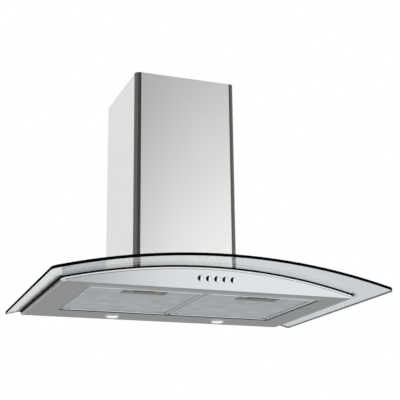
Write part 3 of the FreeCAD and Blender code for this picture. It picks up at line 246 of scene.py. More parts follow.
def markedSurface(tree, place, look, habit):
    # The tone drifts in soft clouds; roughness and relief follow the surface marks. The habit holds
    # the clouds' scale per metre, the detail of both patterns and the strength of the relief.
    drawn = addNode(tree, "ShaderNodeMapping", {"Scale": [1.0 / m for m in look["marks"]]},
                    {"Vector": place.outputs["Object"]})
    marks = addNode(tree, "ShaderNodeTexNoise", {"Scale": 1.0, "Detail": habit["detail"],
                                                 "Roughness": 0.6}, {"Vector": drawn.outputs[0]})
    clouds = addNode(tree, "ShaderNodeTexNoise", {"Scale": habit["clouds"], "Detail": habit["detail"]},
                     {"Vector": place.outputs["Object"]})
    spread = addNode(tree, "ShaderNodeMapRange", {1: noiseLow, 2: noiseHigh}, {0: clouds.outputs[0]})
    colour = addNode(tree, "ShaderNodeMix", {"data_type": "RGBA", 6: tone(look["dark"]),
                                             7: tone(look["light"])}, {0: spread.outputs[0]})
    rough = addNode(tree, "ShaderNodeMapRange", {1: noiseLow, 2: noiseHigh, 3: look["rough"][0],
                                                 4: look["rough"][1]}, {0: marks.outputs[0]})
    relief = addNode(tree, "ShaderNodeBump", {"Strength": habit["relief"], "Distance": look["depth"]},
                     {"Height": marks.outputs[0]})
    return colour, rough, relief


# Aluminium and steel trims. Each finish: tones, shine, the size in metres of its marks along X,
# Y and Z, and their depth.
metalHabit = {"clouds": 35.0, "detail": 3.0, "relief": 0.3}
metals = {
    # rolled strip of the filter frames: pale, soft, faint roll lines along X
    "rolledAluminium": {"dark": "#e3e7ea", "light": "#eef1f3", "rough": (0.38, 0.50),
                        "marks": (0.05, 0.0012, 0.0012), "depth": 0.00002},
    # the turned-over window edges catch real light on their round section, and their tone is painted
    # lighter than the frames' strip as a highlight
    "hemAluminium": {"dark": "#f0f3f5", "light": "#fafbfc", "rough": (0.24, 0.32),
                     "marks": (0.003, 0.003, 0.003), "depth": 0.00001},
    # the rounded fold along the pan's lower side edges: the pan's steel with a painted highlight in
    # its lighter, warmer tone
    "foldSteel": {"dark": "#e8e7e0", "light": "#f2f1ea", "rough": (0.22, 0.30),
                  "marks": (0.0004, 0.02, 0.0004), "depth": 0.000005},
    # slit and stretched foil: bright strands with a matt, slightly uneven skin
    "expandedAluminium": {"dark": "#b6bbbe", "light": "#c6cbce", "rough": (0.28, 0.42),
                          "marks": (0.0007, 0.0007, 0.0007), "depth": 0.00004},
    # the pack behind it: the same foil, greyer in its own shade
    "packFoil": {"dark": "#85898c", "light": "#989da0", "rough": (0.45, 0.60),
                 "marks": (0.0007, 0.0007, 0.0007), "depth": 0.00004},
    # bright zinc plate with a faint blue and straw passivation
    "zincScrewSteel": {"dark": "#b7bcc4", "light": "#cbc8bc", "rough": (0.22, 0.34),
                       "marks": (0.006, 0.006, 0.006), "depth": 0.00001},
    # turned rings round the lamps: fine lathe lines blurred to a satin
    "lampRingSteel": {"dark": "#cfd1d2", "light": "#dddfe0", "rough": (0.22, 0.32),
                      "marks": (0.001, 0.001, 0.0004), "depth": 0.00001},
}


def metal(name):
    look = metals[name]
    material, tree, place = newMaterial(name)
    colour, rough, relief = markedSurface(tree, place, look, metalHabit)
    shader = addNode(tree, "ShaderNodeBsdfPrincipled", {"Metallic": 1.0}, {
        "Base Color": colour.outputs[2], "Roughness": rough.outputs[0], "Normal": relief.outputs[0]})
    closeMaterial(tree, shader)
    return material


# Drawn wire wound into a spring: bright turns with painted shade in the gaps between them along
# Y. The real turns are 0.8 mm apart, too fine to show, and are drawn coarser.
spring = {"gapShade": "#4c4c4b", "wire": "#a9a9a7", "pitch": 0.002512, "gapRough": 0.45, "wireRough": 0.28,
          "depth": 0.0003}
waveLength = 0.314    # of the wave texture's bands at scale 1


def springSteel():
    material, tree, place = newMaterial("springSteel")
    turns = addNode(tree, "ShaderNodeTexWave", {"bands_direction": "Y",
                                                "Scale": waveLength / spring["pitch"]},
                    {"Vector": place.outputs["Object"]})
    colour = addNode(tree, "ShaderNodeMix", {"data_type": "RGBA", 6: tone(spring["gapShade"]),
                                             7: tone(spring["wire"])}, {0: turns.outputs[1]})
    rough = addNode(tree, "ShaderNodeMapRange", {3: spring["gapRough"], 4: spring["wireRough"]},
                    {0: turns.outputs[1]})
    relief = addNode(tree, "ShaderNodeBump", {"Strength": 0.8, "Distance": spring["depth"]},
                     {"Height": turns.outputs[1]})
    shader = addNode(tree, "ShaderNodeBsdfPrincipled", {"Metallic": 1.0}, {
        "Base Color": colour.outputs[2], "Roughness": rough.outputs[0], "Normal": relief.outputs[0]})
    closeMaterial(tree, shader)
    return material


# Chrome plated button caps with a painted reflection: the tone is painted near black where the cap
# faces left, as a dark studio side would show in it, and darker towards its rim.
chrome = {"light": "#f4f5f6", "left": "#08090a", "start": -0.24, "end": -0.08,
          "rim": "#4c4f53", "axis": (0.0, -0.9487, -0.3162), "rimStart": 0.48, "rimEnd": 0.80,
          "roughLow": 0.05, "roughHigh": 0.10, "haze": 220.0}


def polishedChrome():
    material, tree, place = newMaterial("polishedChrome")
    haze = addNode(tree, "ShaderNodeTexNoise", {"Scale": chrome["haze"], "Detail": 3.0},
                   {"Vector": place.outputs["Object"]})
    side = addNode(tree, "ShaderNodeSeparateXYZ", {}, {"Vector": place.outputs["Normal"]})
    turned = addNode(tree, "ShaderNodeMapRange", {1: chrome["start"], 2: chrome["end"]},
                     {0: side.outputs[0]})
    colour = addNode(tree, "ShaderNodeMix", {"data_type": "RGBA", 6: tone(chrome["left"]),
                                             7: tone(chrome["light"])}, {0: turned.outputs[0]})
    facing = addNode(tree, "ShaderNodeVectorMath", {"operation": "DOT_PRODUCT", 1: chrome["axis"]},
                     {0: place.outputs["Normal"]})
    flat = addNode(tree, "ShaderNodeMapRange", {1: chrome["rimStart"], 2: chrome["rimEnd"]},
                   {0: facing.outputs[1]})
    edge = addNode(tree, "ShaderNodeMix", {"data_type": "RGBA", 6: tone(chrome["left"]),
                                           7: tone(chrome["rim"])}, {0: turned.outputs[0]})
    colour = addNode(tree, "ShaderNodeMix", {"data_type": "RGBA"},
                     {0: flat.outputs[0], 6: edge.outputs[2], 7: colour.outputs[2]})
    rough = addNode(tree, "ShaderNodeMapRange", {3: chrome["roughLow"], 4: chrome["roughHigh"]},
                    {0: haze.outputs[0]})
    shader = addNode(tree, "ShaderNodeBsdfPrincipled", {"Metallic": 1.0}, {
        "Base Color": colour.outputs[2], "Roughness": rough.outputs[0]})
    closeMaterial(tree, shader)
    return material


# Clear toughened float glass: faintly grey through the sheet. Its polished edges are opaque and
# painted near black, as painted shade where the edges look dark.
glass = {
    "tint": "#eaecee",
    "bend": 1.10,             # float glass has 1.52; the photo's sheet mirrors less than that
    "mirror": 0.5,
    "edge": "#030405",
    "edgeStart": 0.55,        # the edges are where the normal's z part is below this
    "edgeRough": 0.20,
    "farEdge": "#96989a",     # the right edge, beyond farX
    "farX": 0.3480,
    "smear": 0.004,           # most roughness that the wiped smears give
    "smearScale": 9.0,        # smears about 110 mm across
    "smearStart": 0.45,
    "smearFull": 0.8,
    # painted shade: along the gasket the sheet is painted darker, where the body's dark side would
    # show through it
    "shade": "#5c6061",
    "gasketX": 0.3210,        # the gasket's edge at the wall; it narrows towards the front
    "gasketTaper": 0.0161,
    "shadeInner": -0.004,     # from the gasket's edge
    "shadeReach": 0.011,
    "shadeFront": -0.4040,
}


def toughenedGlass():
    material, tree, place = newMaterial("toughenedGlass")
    side = addNode(tree, "ShaderNodeSeparateXYZ", {}, {"Vector": place.outputs["Normal"]})
    flat = addNode(tree, "ShaderNodeMath", {"operation": "ABSOLUTE"}, {0: side.outputs[2]})
    sheet = addNode(tree, "ShaderNodeMath", {"operation": "GREATER_THAN", 1: glass["edgeStart"]},
                    {0: flat.outputs[0]})
    smears = addNode(tree, "ShaderNodeTexNoise", {"Scale": glass["smearScale"], "Detail": 2.0},
                     {"Vector": place.outputs["Object"]})
    film = addNode(tree, "ShaderNodeMapRange", {1: glass["smearStart"], 2: glass["smearFull"],
                                                3: 0.0, 4: glass["smear"]}, {0: smears.outputs[0]})
    shine = addNode(tree, "ShaderNodeMix", {"data_type": "FLOAT", 2: glass["edgeRough"]},
                    {0: sheet.outputs[0], 3: film.outputs[0]})
    mirror = addNode(tree, "ShaderNodeMapRange", {3: 0.0, 4: glass["mirror"]}, {0: sheet.outputs[0]})
    # painted reflection: the right edge, beyond farX, is painted pale instead of near black, as it
    # looks seen from inside the sheet
    where = addNode(tree, "ShaderNodeSeparateXYZ", {}, {"Vector": place.outputs["Object"]})
    far = addNode(tree, "ShaderNodeMath", {"operation": "GREATER_THAN", 1: glass["farX"]},
                  {0: where.outputs[0]})
    edge = addNode(tree, "ShaderNodeMix", {"data_type": "RGBA", 6: tone(glass["edge"]),
                                           7: tone(glass["farEdge"])}, {0: far.outputs[0]})
    # distance outside the gasket: |x| - (gasketX + gasketTaper*y)
    run = addNode(tree, "ShaderNodeMath", {"operation": "MULTIPLY_ADD", 1: glass["gasketTaper"],
                                           2: glass["gasketX"]}, {0: where.outputs[1]})
    out = addNode(tree, "ShaderNodeMath", {"operation": "ABSOLUTE"}, {0: where.outputs[0]})
    away = addNode(tree, "ShaderNodeMath", {"operation": "SUBTRACT"},
                   {0: out.outputs[0], 1: run.outputs[0]})
    # painted shade beside the gasket, darkest next to it and fading out over shadeReach
    fade = addNode(tree, "ShaderNodeMapRange", {1: 0.0, 2: glass["shadeReach"], 3: 1.0, 4: 0.0},
                   {0: away.outputs[0]})
    beside = addNode(tree, "ShaderNodeMath", {"operation": "GREATER_THAN", 1: glass["shadeFront"]},
                     {0: where.outputs[1]})
    beyond = addNode(tree, "ShaderNodeMath", {"operation": "GREATER_THAN", 1: glass["shadeInner"]},
                     {0: away.outputs[0]})
    strip = addNode(tree, "ShaderNodeMath", {"operation": "MULTIPLY"},
                    {0: beyond.outputs[0], 1: beside.outputs[0]})
    paintedShadeMask = addNode(tree, "ShaderNodeMath", {"operation": "MULTIPLY"},
                     {0: fade.outputs[0], 1: strip.outputs[0]})
    through = addNode(tree, "ShaderNodeMix", {"data_type": "RGBA", 6: tone(glass["tint"]),
                                              7: tone(glass["shade"])}, {0: paintedShadeMask.outputs[0]})
    colour = addNode(tree, "ShaderNodeMix", {"data_type": "RGBA"},
                     {0: sheet.outputs[0], 6: edge.outputs[2], 7: through.outputs[2]})
    shader = addNode(tree, "ShaderNodeBsdfPrincipled", {"IOR": glass["bend"]}, {
        "Base Color": colour.outputs[2], "Roughness": shine.outputs[0],
        "Specular IOR Level": mirror.outputs[0], "Transmission Weight": sheet.outputs[0]})
    closeMaterial(tree, shader)
    return material


# Plastics, rubber, paint and opal glass. Each finish: tones, shine, the size in metres of its
# surface marks along X, Y and Z, their depth, how much it mirrors, a painted lighter tone for its
# upright faces where that differs, and a painted glow.
mouldHabit = {"clouds": 25.0, "detail": 2.0, "relief": 0.4}
uprightRange = (0.3, 0.7)    # of the normal's z part, from upright to flat
moulds = {
    # clear nylon washers: milky
    "naturalNylon": {"dark": "#d6d3c8", "light": "#e2e0d6", "rough": (0.32, 0.44),
                     "marks": (0.0009, 0.0009, 0.0009), "depth": 0.00003, "mirror": 0.5},
    # extruded black rubber: dull, faint draw lines along X
    "blackRubber": {"dark": "#060606", "light": "#0d0d0d", "rough": (0.50, 0.68),
                    "marks": (0.02, 0.0011, 0.0011), "depth": 0.00004, "mirror": 0.04},
    # warm olive grey handle trays with a spark-eroded grain; their upright walls are painted lighter,
    # as painted light lifting the shade of the recess
    "handlePlastic": {"dark": "#6e706a", "light": "#767872", "rough": (0.42, 0.54),
                      "marks": (0.0008, 0.0008, 0.0008), "depth": 0.00005, "mirror": 0.4,
                      "wall": "#a0a298"},
    # the catch's slider: the trays' grain, a shade darker
    "catchPlastic": {"dark": "#4c4e49", "light": "#545650", "rough": (0.42, 0.54),
                     "marks": (0.0008, 0.0008, 0.0008), "depth": 0.00005, "mirror": 0.4},
    # hinge blocks at the filters' corners: nearly black, a little duller
    "cornerPlastic": {"dark": "#242423", "light": "#2c2c2b", "rough": (0.44, 0.56),
                      "marks": (0.0008, 0.0008, 0.0008), "depth": 0.00005, "mirror": 0.4},
    # blower scroll, dampers and junction box: black with the soft gloss of a plain mould
    "blackPolypropylene": {"dark": "#1d1d1d", "light": "#262626", "rough": (0.36, 0.48),
                           "marks": (0.001, 0.001, 0.001), "depth": 0.00006, "mirror": 0.5},
    # impeller and capacitor: mid grey, satin from the mould
    "greyPolyamide": {"dark": "#84878a", "light": "#8e9193", "rough": (0.39, 0.51),
                      "marks": (0.001, 0.001, 0.001), "depth": 0.00006, "mirror": 0.5},
    # lamp cups: warm white with a smooth gloss
    "whitePolycarbonate": {"dark": "#e0e0db", "light": "#e9e9e5", "rough": (0.34, 0.46),
                           "marks": (0.0009, 0.0009, 0.0009), "depth": 0.00004, "mirror": 0.5},
    # opal polycarbonate lens: white right through, softly glossy, with a faint painted glow
    "opalLens": {"dark": "#f1f0ec", "light": "#f8f7f4", "rough": (0.20, 0.28),
                 "marks": (0.003, 0.003, 0.003), "depth": 0.00001, "mirror": 0.4, "glow": 0.12},
    # frosted bulb envelope: milky with a soft shine
    "bulbGlass": {"dark": "#e6e6e0", "light": "#f4f4ef", "rough": (0.35, 0.50),
                  "marks": (0.002, 0.002, 0.002), "depth": 0.00001, "mirror": 0.5},
    # dark grey stoved paint with a light orange peel
    "motorPaint": {"dark": "#30343a", "light": "#3a3f45", "rough": (0.32, 0.42),
                   "marks": (0.0024, 0.0024, 0.0024), "depth": 0.00015, "mirror": 0.5},
    # extruded cable sheath: light grey, softly dull
    "cableJacket": {"dark": "#d8d8d3", "light": "#e3e3df", "rough": (0.44, 0.56),
                    "marks": (0.0012, 0.0012, 0.0012), "depth": 0.00006, "mirror": 0.5},
}


def moulded(name):
    look = moulds[name]
    material, tree, place = newMaterial(name)
    colour, rough, relief = markedSurface(tree, place, look, mouldHabit)
    if "wall" in look:
        # painted light: upright faces get the lighter tone
        side = addNode(tree, "ShaderNodeSeparateXYZ", {}, {"Vector": place.outputs["Normal"]})
        flat = addNode(tree, "ShaderNodeMath", {"operation": "ABSOLUTE"}, {0: side.outputs[2]})
        wall = addNode(tree, "ShaderNodeMapRange", {1: uprightRange[0], 2: uprightRange[1], 3: 1.0,
                                                    4: 0.0}, {0: flat.outputs[0]})
        colour = addNode(tree, "ShaderNodeMix", {"data_type": "RGBA", 7: tone(look["wall"])},
                         {0: wall.outputs[0], 6: colour.outputs[2]})
    shader = addNode(tree, "ShaderNodeBsdfPrincipled", {
        "IOR": 1.50, "Specular IOR Level": look["mirror"], "Emission Color": tone(look["light"]),
        "Emission Strength": look.get("glow", 0.0)}, {
        "Base Color": colour.outputs[2], "Roughness": rough.outputs[0], "Normal": relief.outputs[0]})
    closeMaterial(tree, shader)
    return material


finishes = {
    "clear_glass": toughenedGlass(),
    "black_rubber": moulded("blackRubber"),
    "clear_nylon": moulded("naturalNylon"),
    "zinc_screw_steel": metal("zincScrewSteel"),
    "zinc_coated_sheet": zincCoatedSheet(),
    "filter_aluminium": metal("rolledAluminium"),
    "mesh_aluminium": metal("packFoil"),
    "handle_plastic": moulded("handlePlastic"),
    "catch_plastic": moulded("catchPlastic"),
    "dark_corner_plastic": moulded("cornerPlastic"),
    "spring_steel": springSteel(),
    "polished_chrome": polishedChrome(),
    "black_plastic": moulded("blackPolypropylene"),
    "grey_plastic": moulded("greyPolyamide"),
    "lamp_ring_steel": metal("lampRingSteel"),
    "opal_lens": moulded("opalLens"),
    "white_plastic": moulded("whitePolycarbonate"),
    "bulb_glass": moulded("bulbGlass"),
    "motor_paint": moulded("motorPaint"),
    "cable_jacket": moulded("cableJacket"),
}
steels = {name: brushedStainless(name) for name in steelLooks}
strandAluminium = metal("expandedAluminium")
hemAluminium = metal("hemAluminium")
foldSteel = metal("foldSteel")
slotOf = {part["node"]: part["material_slot"] for part in frame["record"]["subparts"]}


def dressNode(name):
    if slotOf[name] != "brushed_stainless":
        material = finishes[slotOf[name]]
    elif name.startswith("chimney"):
        material = steels["chimney"]
    else:
        material = steels["fascia" if name == "fascia" else "pan"]
    data = nodes[name].data
    for i in range(len(data.materials)):
        data.materials[i] = material


for nodeName in nodes:
    dressNode(nodeName)
print("finishes on", len(nodes), "nodes")


def makePiece(name, points, faces, material, body, smooth=False):
    mesh = bpy.data.meshes.new(name)
    mesh.from_pydata(points.reshape(-1, 3).tolist(), [], faces)
    mesh.materials.append(material)
    mesh.polygons.foreach_set("use_smooth", np.broadcast_to(smooth, len(mesh.polygons)).copy())
    mesh.update()
    piece = bpy.data.objects.new(name, mesh)
    bpy.context.scene.collection.objects.link(piece)
    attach(piece, body)
    print("piece", name, "with", len(mesh.polygons), "faces")
    return piece


def joinRings(near, far):
    # four-sided faces between rings of point numbers; the last axis runs round each ring
    return np.stack([near, far, np.roll(far, -1, -1), np.roll(near, -1, -1)], -1).reshape(-1, 4)


# Expanded mesh skins over the two filters' packs.
skin = {
    "cellLong": 0.0056,      # along X
    "cellShort": 0.0040,     # along Y
    "strandWidth": 0.0008,
    "strandThick": 0.00045,
    "lean": 35.0,            # stretched strands lie turned by about this much
    "cornerReach": 0.0195,   # strands stop short of the hinge blocks
    "blockGap": 0.0002,
}


def makeSkin(side):
    # Zigzag strands: y = y0 + k*short/2 + (-1)^(j+k)*short/4 at x = x0 + j*long/2, so that
    # neighbours meet at every second bend. A flat leaning section is carried along each.
    nodeName = "filter_%s_face_mesh" % side
    low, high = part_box(nodeName)
    trayLow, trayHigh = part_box("filter_%s_handle_tray" % side)
    blockLow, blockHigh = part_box("filter_%s_hinge_blocks" % side)
    stations = int(round((high.x - low.x) / (skin["cellLong"] / 2)))
    rows = int(round((high.y - low.y - skin["cellShort"]) / (skin["cellShort"] / 2)))
    step = (high.x - low.x) / stations
    j, k = np.meshgrid(np.arange(stations + 1), np.arange(rows + 1), indexing="ij")
    x = low.x + j * step
    swing = np.where((j + k) % 2 == 0, 1.0, -1.0)
    y = low.y + skin["cellShort"] / 2 + k * skin["cellShort"] / 2 + swing * skin["cellShort"] / 4
    lean = math.radians(skin["lean"])
    halfWidth, halfThick = skin["strandWidth"] / 2, skin["strandThick"] / 2
    corners = np.array([(-halfWidth, -halfThick), (halfWidth, -halfThick),
                        (halfWidth, halfThick), (-halfWidth, halfThick)])
    offsetY = corners[:, 0] * math.cos(lean) - corners[:, 1] * math.sin(lean)
    offsetZ = corners[:, 0] * math.sin(lean) + corners[:, 1] * math.cos(lean)
    points = np.stack(np.broadcast_arrays(x[..., None], y[..., None] + offsetY,
                                          (low.z + high.z) / 2 + offsetZ), -1)
    inTray = (x > trayLow.x) & (x < trayHigh.x) & (y > trayLow.y) & (y < trayHigh.y)
    nearSide = np.minimum(x - blockLow.x, blockHigh.x - x) < skin["cornerReach"]
    keep = ~(inTray | (nearSide & (y > blockLow.y - skin["blockGap"])))
    link = keep[:-1] & keep[1:]
    index = (j * (rows + 1) + k)[..., None] * 4 + np.arange(4)
    near, far = index[:-1], index[1:]
    turn = np.roll(np.arange(4), -1)
    sides = np.stack([near, near[..., turn], far[..., turn], far], -1)[link]
    empty = np.zeros((1, rows + 1), bool)
    starts = np.concatenate([link, empty]) & ~np.concatenate([empty, link])
    ends = np.concatenate([empty, link]) & ~np.concatenate([link, empty])
    faces = np.concatenate([sides.reshape(-1, 4), index[starts][:, ::-1], index[ends]])
    piece = makePiece("filter_%s_skin" % side, points, faces.tolist(), strandAluminium,
                      "filter_%s" % side)
    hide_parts(nodeName)


# Rounded hems where each filter frame is turned over at its window.
hem = {
    "flange": 0.009,        # width of the frame's face
    "radius": 0.0010,
    "tuck": 0.6,            # share of the radius that lies over the flange's inner edge
    "rise": 0.00012,        # the section's centre above the frame's face
    "corner": 0.003,
    "turn": 7,              # points on each corner
    "spacing": 0.0007,
    "sides": 10,
    "beadPitch": 0.0056,    # the strands end on the back hem and show as a row of beads
    "beadDepth": 0.42,
}


def makeHem(side):
    # Round section carried round a rounded rectangle: p + r*(cos(a)*n + sin(a)*z), with n the
    # outward normal of the path. On the back run r = radius*(1 - depth/2*(1 + cos(2 pi x/pitch))).
    low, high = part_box("filter_%s_frame" % side)
    inset = hem["flange"] - hem["radius"] * hem["tuck"]
    x0, x1, y0, y1 = low.x + inset, high.x - inset, low.y + inset, high.y - inset
    runs = []
    for x, y, a in ((x1, y1, 0.0), (x0, y1, 90.0), (x0, y0, 180.0), (x1, y0, 270.0)):
        angle = np.radians(a + np.linspace(0.0, 90.0, hem["turn"]))
        centreX = x - math.copysign(hem["corner"], x - (x0 + x1) / 2)
        centreY = y - math.copysign(hem["corner"], y - (y0 + y1) / 2)
        runs.append(np.stack([centreX + hem["corner"] * np.cos(angle),
                              centreY + hem["corner"] * np.sin(angle)], -1))
    path = []
    for run, after in zip(runs, runs[1:] + runs[:1]):
        count = int(np.hypot(*(after[0] - run[-1])) / hem["spacing"])
        path += [run, np.linspace(run[-1], after[0], count + 1)[1:-1]]
    path = np.concatenate(path)
    ahead = np.roll(path, -1, 0) - np.roll(path, 1, 0)
    ahead /= np.hypot(ahead[:, :1], ahead[:, 1:])
    beads = 1 - hem["beadDepth"] / 2 * (1 + np.cos(2 * math.pi * path[:, 0] / hem["beadPitch"]))
    radius = hem["radius"] * np.where(path[:, 1] > y1 - 1e-6, beads, 1.0)[:, None]
    a = np.linspace(0, 2 * math.pi, hem["sides"], endpoint=False)
    points = np.stack([path[:, :1] + radius * np.cos(a) * ahead[:, 1:],
                       path[:, 1:] - radius * np.cos(a) * ahead[:, :1],
                       low.z + hem["rise"] + radius * np.sin(a)], -1)
    index = np.arange(points.shape[0] * hem["sides"]).reshape(-1, hem["sides"])
    faces = joinRings(index, np.roll(index, -1, 0))
    makePiece("filter_%s_hem" % side, points, faces.tolist(), hemAluminium,
              "filter_%s" % side, True)


# Domed button caps with their flanges and stems, square to the leaning fascia.
caps = {
    "names": ("light", "stop", "low", "medium", "high"),
    "firstX": -0.033,
    "pitch": 0.0175,
    "foot": (-0.408333, 0.0205),      # y and z on the fascia's face
    "lean": math.atan(1.0 / 3.0),
    # radius and depth into the fascia, from the stem's end to the cap's shoulder
    "profile": ((0.0003, 0.0112), (0.0022, 0.0112), (0.0025, 0.0109), (0.0025, 0.0022),
                (0.0072, 0.0022), (0.0072, 0.0012), (0.0058, 0.0012), (0.0058, -0.0010)),
    "domeHeight": 0.0030,
    "domeEnd": 87,          # degrees; a small flat closes the top
    "domeRings": 16,
    "sides": 40,
}


def makeCap(number):
    # Turned about the button's axis: p = foot + depth*inward + r*(cos(a)*x + sin(a)*up). The dome
    # is a quarter ellipse: r = R*cos(u), depth = shoulder - height*sin(u).
    u = np.radians(np.linspace(0, caps["domeEnd"], caps["domeRings"]))[1:]
    outline = np.array(caps["profile"])
    radius, shoulder = outline[-1]
    dome = np.stack([radius * np.cos(u), shoulder - caps["domeHeight"] * np.sin(u)], -1)
    outline = np.concatenate([outline, dome])[:, None]
    a = np.linspace(0, 2 * math.pi, caps["sides"], endpoint=False)
    inward = (math.cos(caps["lean"]), math.sin(caps["lean"]))
    x = caps["firstX"] + caps["pitch"] * number + outline[..., 0] * np.cos(a)
    y = caps["foot"][0] + outline[..., 1] * inward[0] - outline[..., 0] * np.sin(a) * inward[1]
    z = caps["foot"][1] + outline[..., 1] * inward[1] + outline[..., 0] * np.sin(a) * inward[0]
    points = np.stack([x, y, z], -1)
    index = np.arange(len(outline) * caps["sides"]).reshape(-1, caps["sides"])
    walls = joinRings(index[:-1], index[1:])[:, [0, 3, 2, 1]]    # turned over to face outward
    faces = walls.tolist() + [index[0][::-1].tolist(), index[-1].tolist()]
    rounded = np.arange(len(faces)) >= caps["sides"] * (len(caps["profile"]) - 2)
    name = "button_" + caps["names"][number]
    piece = makePiece(name + "_cap", points, faces, finishes["polished_chrome"], name,
                      rounded)
    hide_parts(name)


# Rounded edges: the folds where the pan's side walls turn into its underside, and the beads along
# the filter frames' outer sides. Ends as x and y, mirrored for the left side.
edges = {
    "pan_fold": {"front": (0.3073, -0.3925), "back": (0.3127, -0.0030), "height": 0.0005,
                 "radius": 0.0011},
    "frame_bead": {"front": (0.2473, -0.3640), "back": (0.2473, -0.0990), "height": 0.0002,
                   "radius": 0.0009},
    "stations": 40,
    "sides": 14,
    "endPower": 40,         # the higher, the shorter the soft ends
    "endLeast": 0.01,
}


def makeEdge(kind, side, material, body):
    # Round section carried along the edge: p = front + t*(back - front) + r*(cos(a)*n + sin(a)*z),
    # with r = radius*(1 - (2t - 1)^power)^0.5 so that both ends close softly.
    edge = edges[kind]
    sign = -1.0 if side == "left" else 1.0
    t = (1 - np.cos(np.linspace(0, math.pi, edges["stations"]))) / 2
    close = np.maximum(1 - (2 * t - 1) ** edges["endPower"], edges["endLeast"])
    radius = edge["radius"] * np.sqrt(close)[:, None]
    front, back = np.array(edge["front"]), np.array(edge["back"])
    path = front + t[:, None] * (back - front)
    away = np.array((back - front)[::-1]) * (1.0, -1.0) / np.hypot(*(back - front))
    a = np.linspace(0, 2 * math.pi, edges["sides"], endpoint=False)
    points = np.stack([sign * (path[:, :1] + radius * np.cos(a) * away[0]),
                       path[:, 1:] + radius * np.cos(a) * away[1],
                       edge["height"] + radius * np.sin(a)], -1)
    index = np.arange(edges["stations"] * edges["sides"]).reshape(-1, edges["sides"])
    walls = joinRings(index[:-1], index[1:])
    faces = walls.tolist() + [index[0].tolist(), index[-1][::-1].tolist()]
    if side == "left":
        faces = [face[::-1] for face in faces]
    makePiece(kind + "_" + side, points, faces, material, body, True)


# The pan's low pressed rim round the filter opening, and a black strip on its inner face as painted
# shade in the gap.
rim = {
    "opening": (-0.249, 0.249, -0.366, -0.097),
    "corner": 0.003,
    "turn": 7,              # points on each corner
    # sections as distance outward from the opening's edge, and height
    "steel": ((0.0006, 0.0001), (0.0006, -0.0017), (0.0008, -0.0020), (0.0012, -0.0021),
              (0.0130, 0.0001)),
    "shadeStrip": ((0.0000, -0.0001), (0.0000, -0.0017), (0.0003, -0.0019), (0.0007, -0.0019),
             (0.0007, -0.0001)),
}


def makeRim(name, section, material):
    # Section carried round a rounded rectangle: p = c + (corner + d)*(cos(a), sin(a)), with c the
    # centre of each corner's bend and d the distance outward.
    x0, x1, y0, y1 = rim["opening"]
    r = rim["corner"]
    centre = np.repeat([(x1 - r, y1 - r), (x0 + r, y1 - r), (x0 + r, y0 + r), (x1 - r, y0 + r)],
                       rim["turn"], 0)
    a = np.radians(np.concatenate([q + np.linspace(0, 90, rim["turn"]) for q in (0, 90, 180, 270)]))
    d, z = np.array(section).T
    points = np.stack(np.broadcast_arrays(centre[:, :1] + (r + d) * np.cos(a)[:, None],
                                          centre[:, 1:] + (r + d) * np.sin(a)[:, None], z), -1)
    index = np.arange(len(a) * len(d)).reshape(-1, len(d))
    faces = joinRings(index, np.roll(index, -1, 0))[:, [0, 3, 2, 1]]    # turned over to face outward
    makePiece(name, points, faces.tolist(), material, "root")


# Full-bodied opal domes in place of the flatter lenses.
domes = {"node": "lamp_lenses", "centres": ((-0.112, -0.038), (0.146, -0.038)), "radius": 0.0142,
         "top": 0.0011, "shoulder": -0.0011, "low": -0.0030, "fullness": 0.42, "sides": 56,
         "end": 89.5, "rings": 22}


def makeDomes():
    # Turned about each lamp's axis: r = radius*cos(u)^fullness, z = shoulder + (low - shoulder)*sin(u)
    u = np.radians(np.linspace(0, domes["end"], domes["rings"]))
    radius = np.concatenate([[domes["radius"]], domes["radius"] * np.cos(u) ** domes["fullness"]])
    drop = domes["low"] - domes["shoulder"]
    height = np.concatenate([[domes["top"]], domes["shoulder"] + drop * np.sin(u)])
    a = np.linspace(0, 2 * math.pi, domes["sides"], endpoint=False)
    centre = np.array(domes["centres"])[:, None, None]
    points = np.stack(np.broadcast_arrays(
        centre[..., 0] + radius[:, None] * np.cos(a), centre[..., 1] + radius[:, None] * np.sin(a),
        height[:, None]), -1)
    index = np.arange(points[..., 0].size).reshape(points.shape[:3])
    walls = joinRings(index[:, :-1], index[:, 1:])
    faces = walls.tolist() + index[:, 0].tolist() + index[:, -1, ::-1].tolist()
    rounded = np.arange(len(faces)) < len(walls)
    piece = makePiece("lamp_domes", points, faces, finishes["opal_lens"], "root", rounded)
    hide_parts(domes["node"])


for side in ("left", "right"):
    makeSkin(side)
    makeHem(side)
    makeEdge("pan_fold", side, foldSteel, "root")
    makeEdge("frame_bead", side, hemAluminium, "filter_" + side)
for number in range(len(caps["names"])):
    makeCap(number)
makeRim("opening_rim", rim["steel"], steels["pan"])
makeRim("opening_shade_strip", rim["shadeStrip"], finishes["black_rubber"])
makeDomes()


studio = {
    "floorZ": -2.4,
    "floorSize": 24.0,
    "floorTone": "#e8e8e6",
    "floorWhite": 0.88,     # share of the floor that camera and mirror rays see as plain white
    "fill": 0.62,           # world level for matt surfaces
}


def stagePlane(name, corners, material):
    mesh = bpy.data.meshes.new(name)
    mesh.from_pydata(corners, [], [(0, 1, 2, 3)])
    mesh.materials.append(material)
    plane = bpy.data.objects.new(name, mesh)
    bpy.context.scene.collection.objects.link(plane)
    return plane


def seenDirectly(tree):
    # 1 for camera, mirror and glass rays, 0 for the rest
    path = addNode(tree, "ShaderNodeLightPath")
    first = addNode(tree, "ShaderNodeMath", {"operation": "MAXIMUM"},
                    {0: path.outputs["Is Camera Ray"], 1: path.outputs["Is Glossy Ray"]})
    return addNode(tree, "ShaderNodeMath", {"operation": "MAXIMUM"},
                   {0: first.outputs[0], 1: path.outputs["Is Transmission Ray"]})


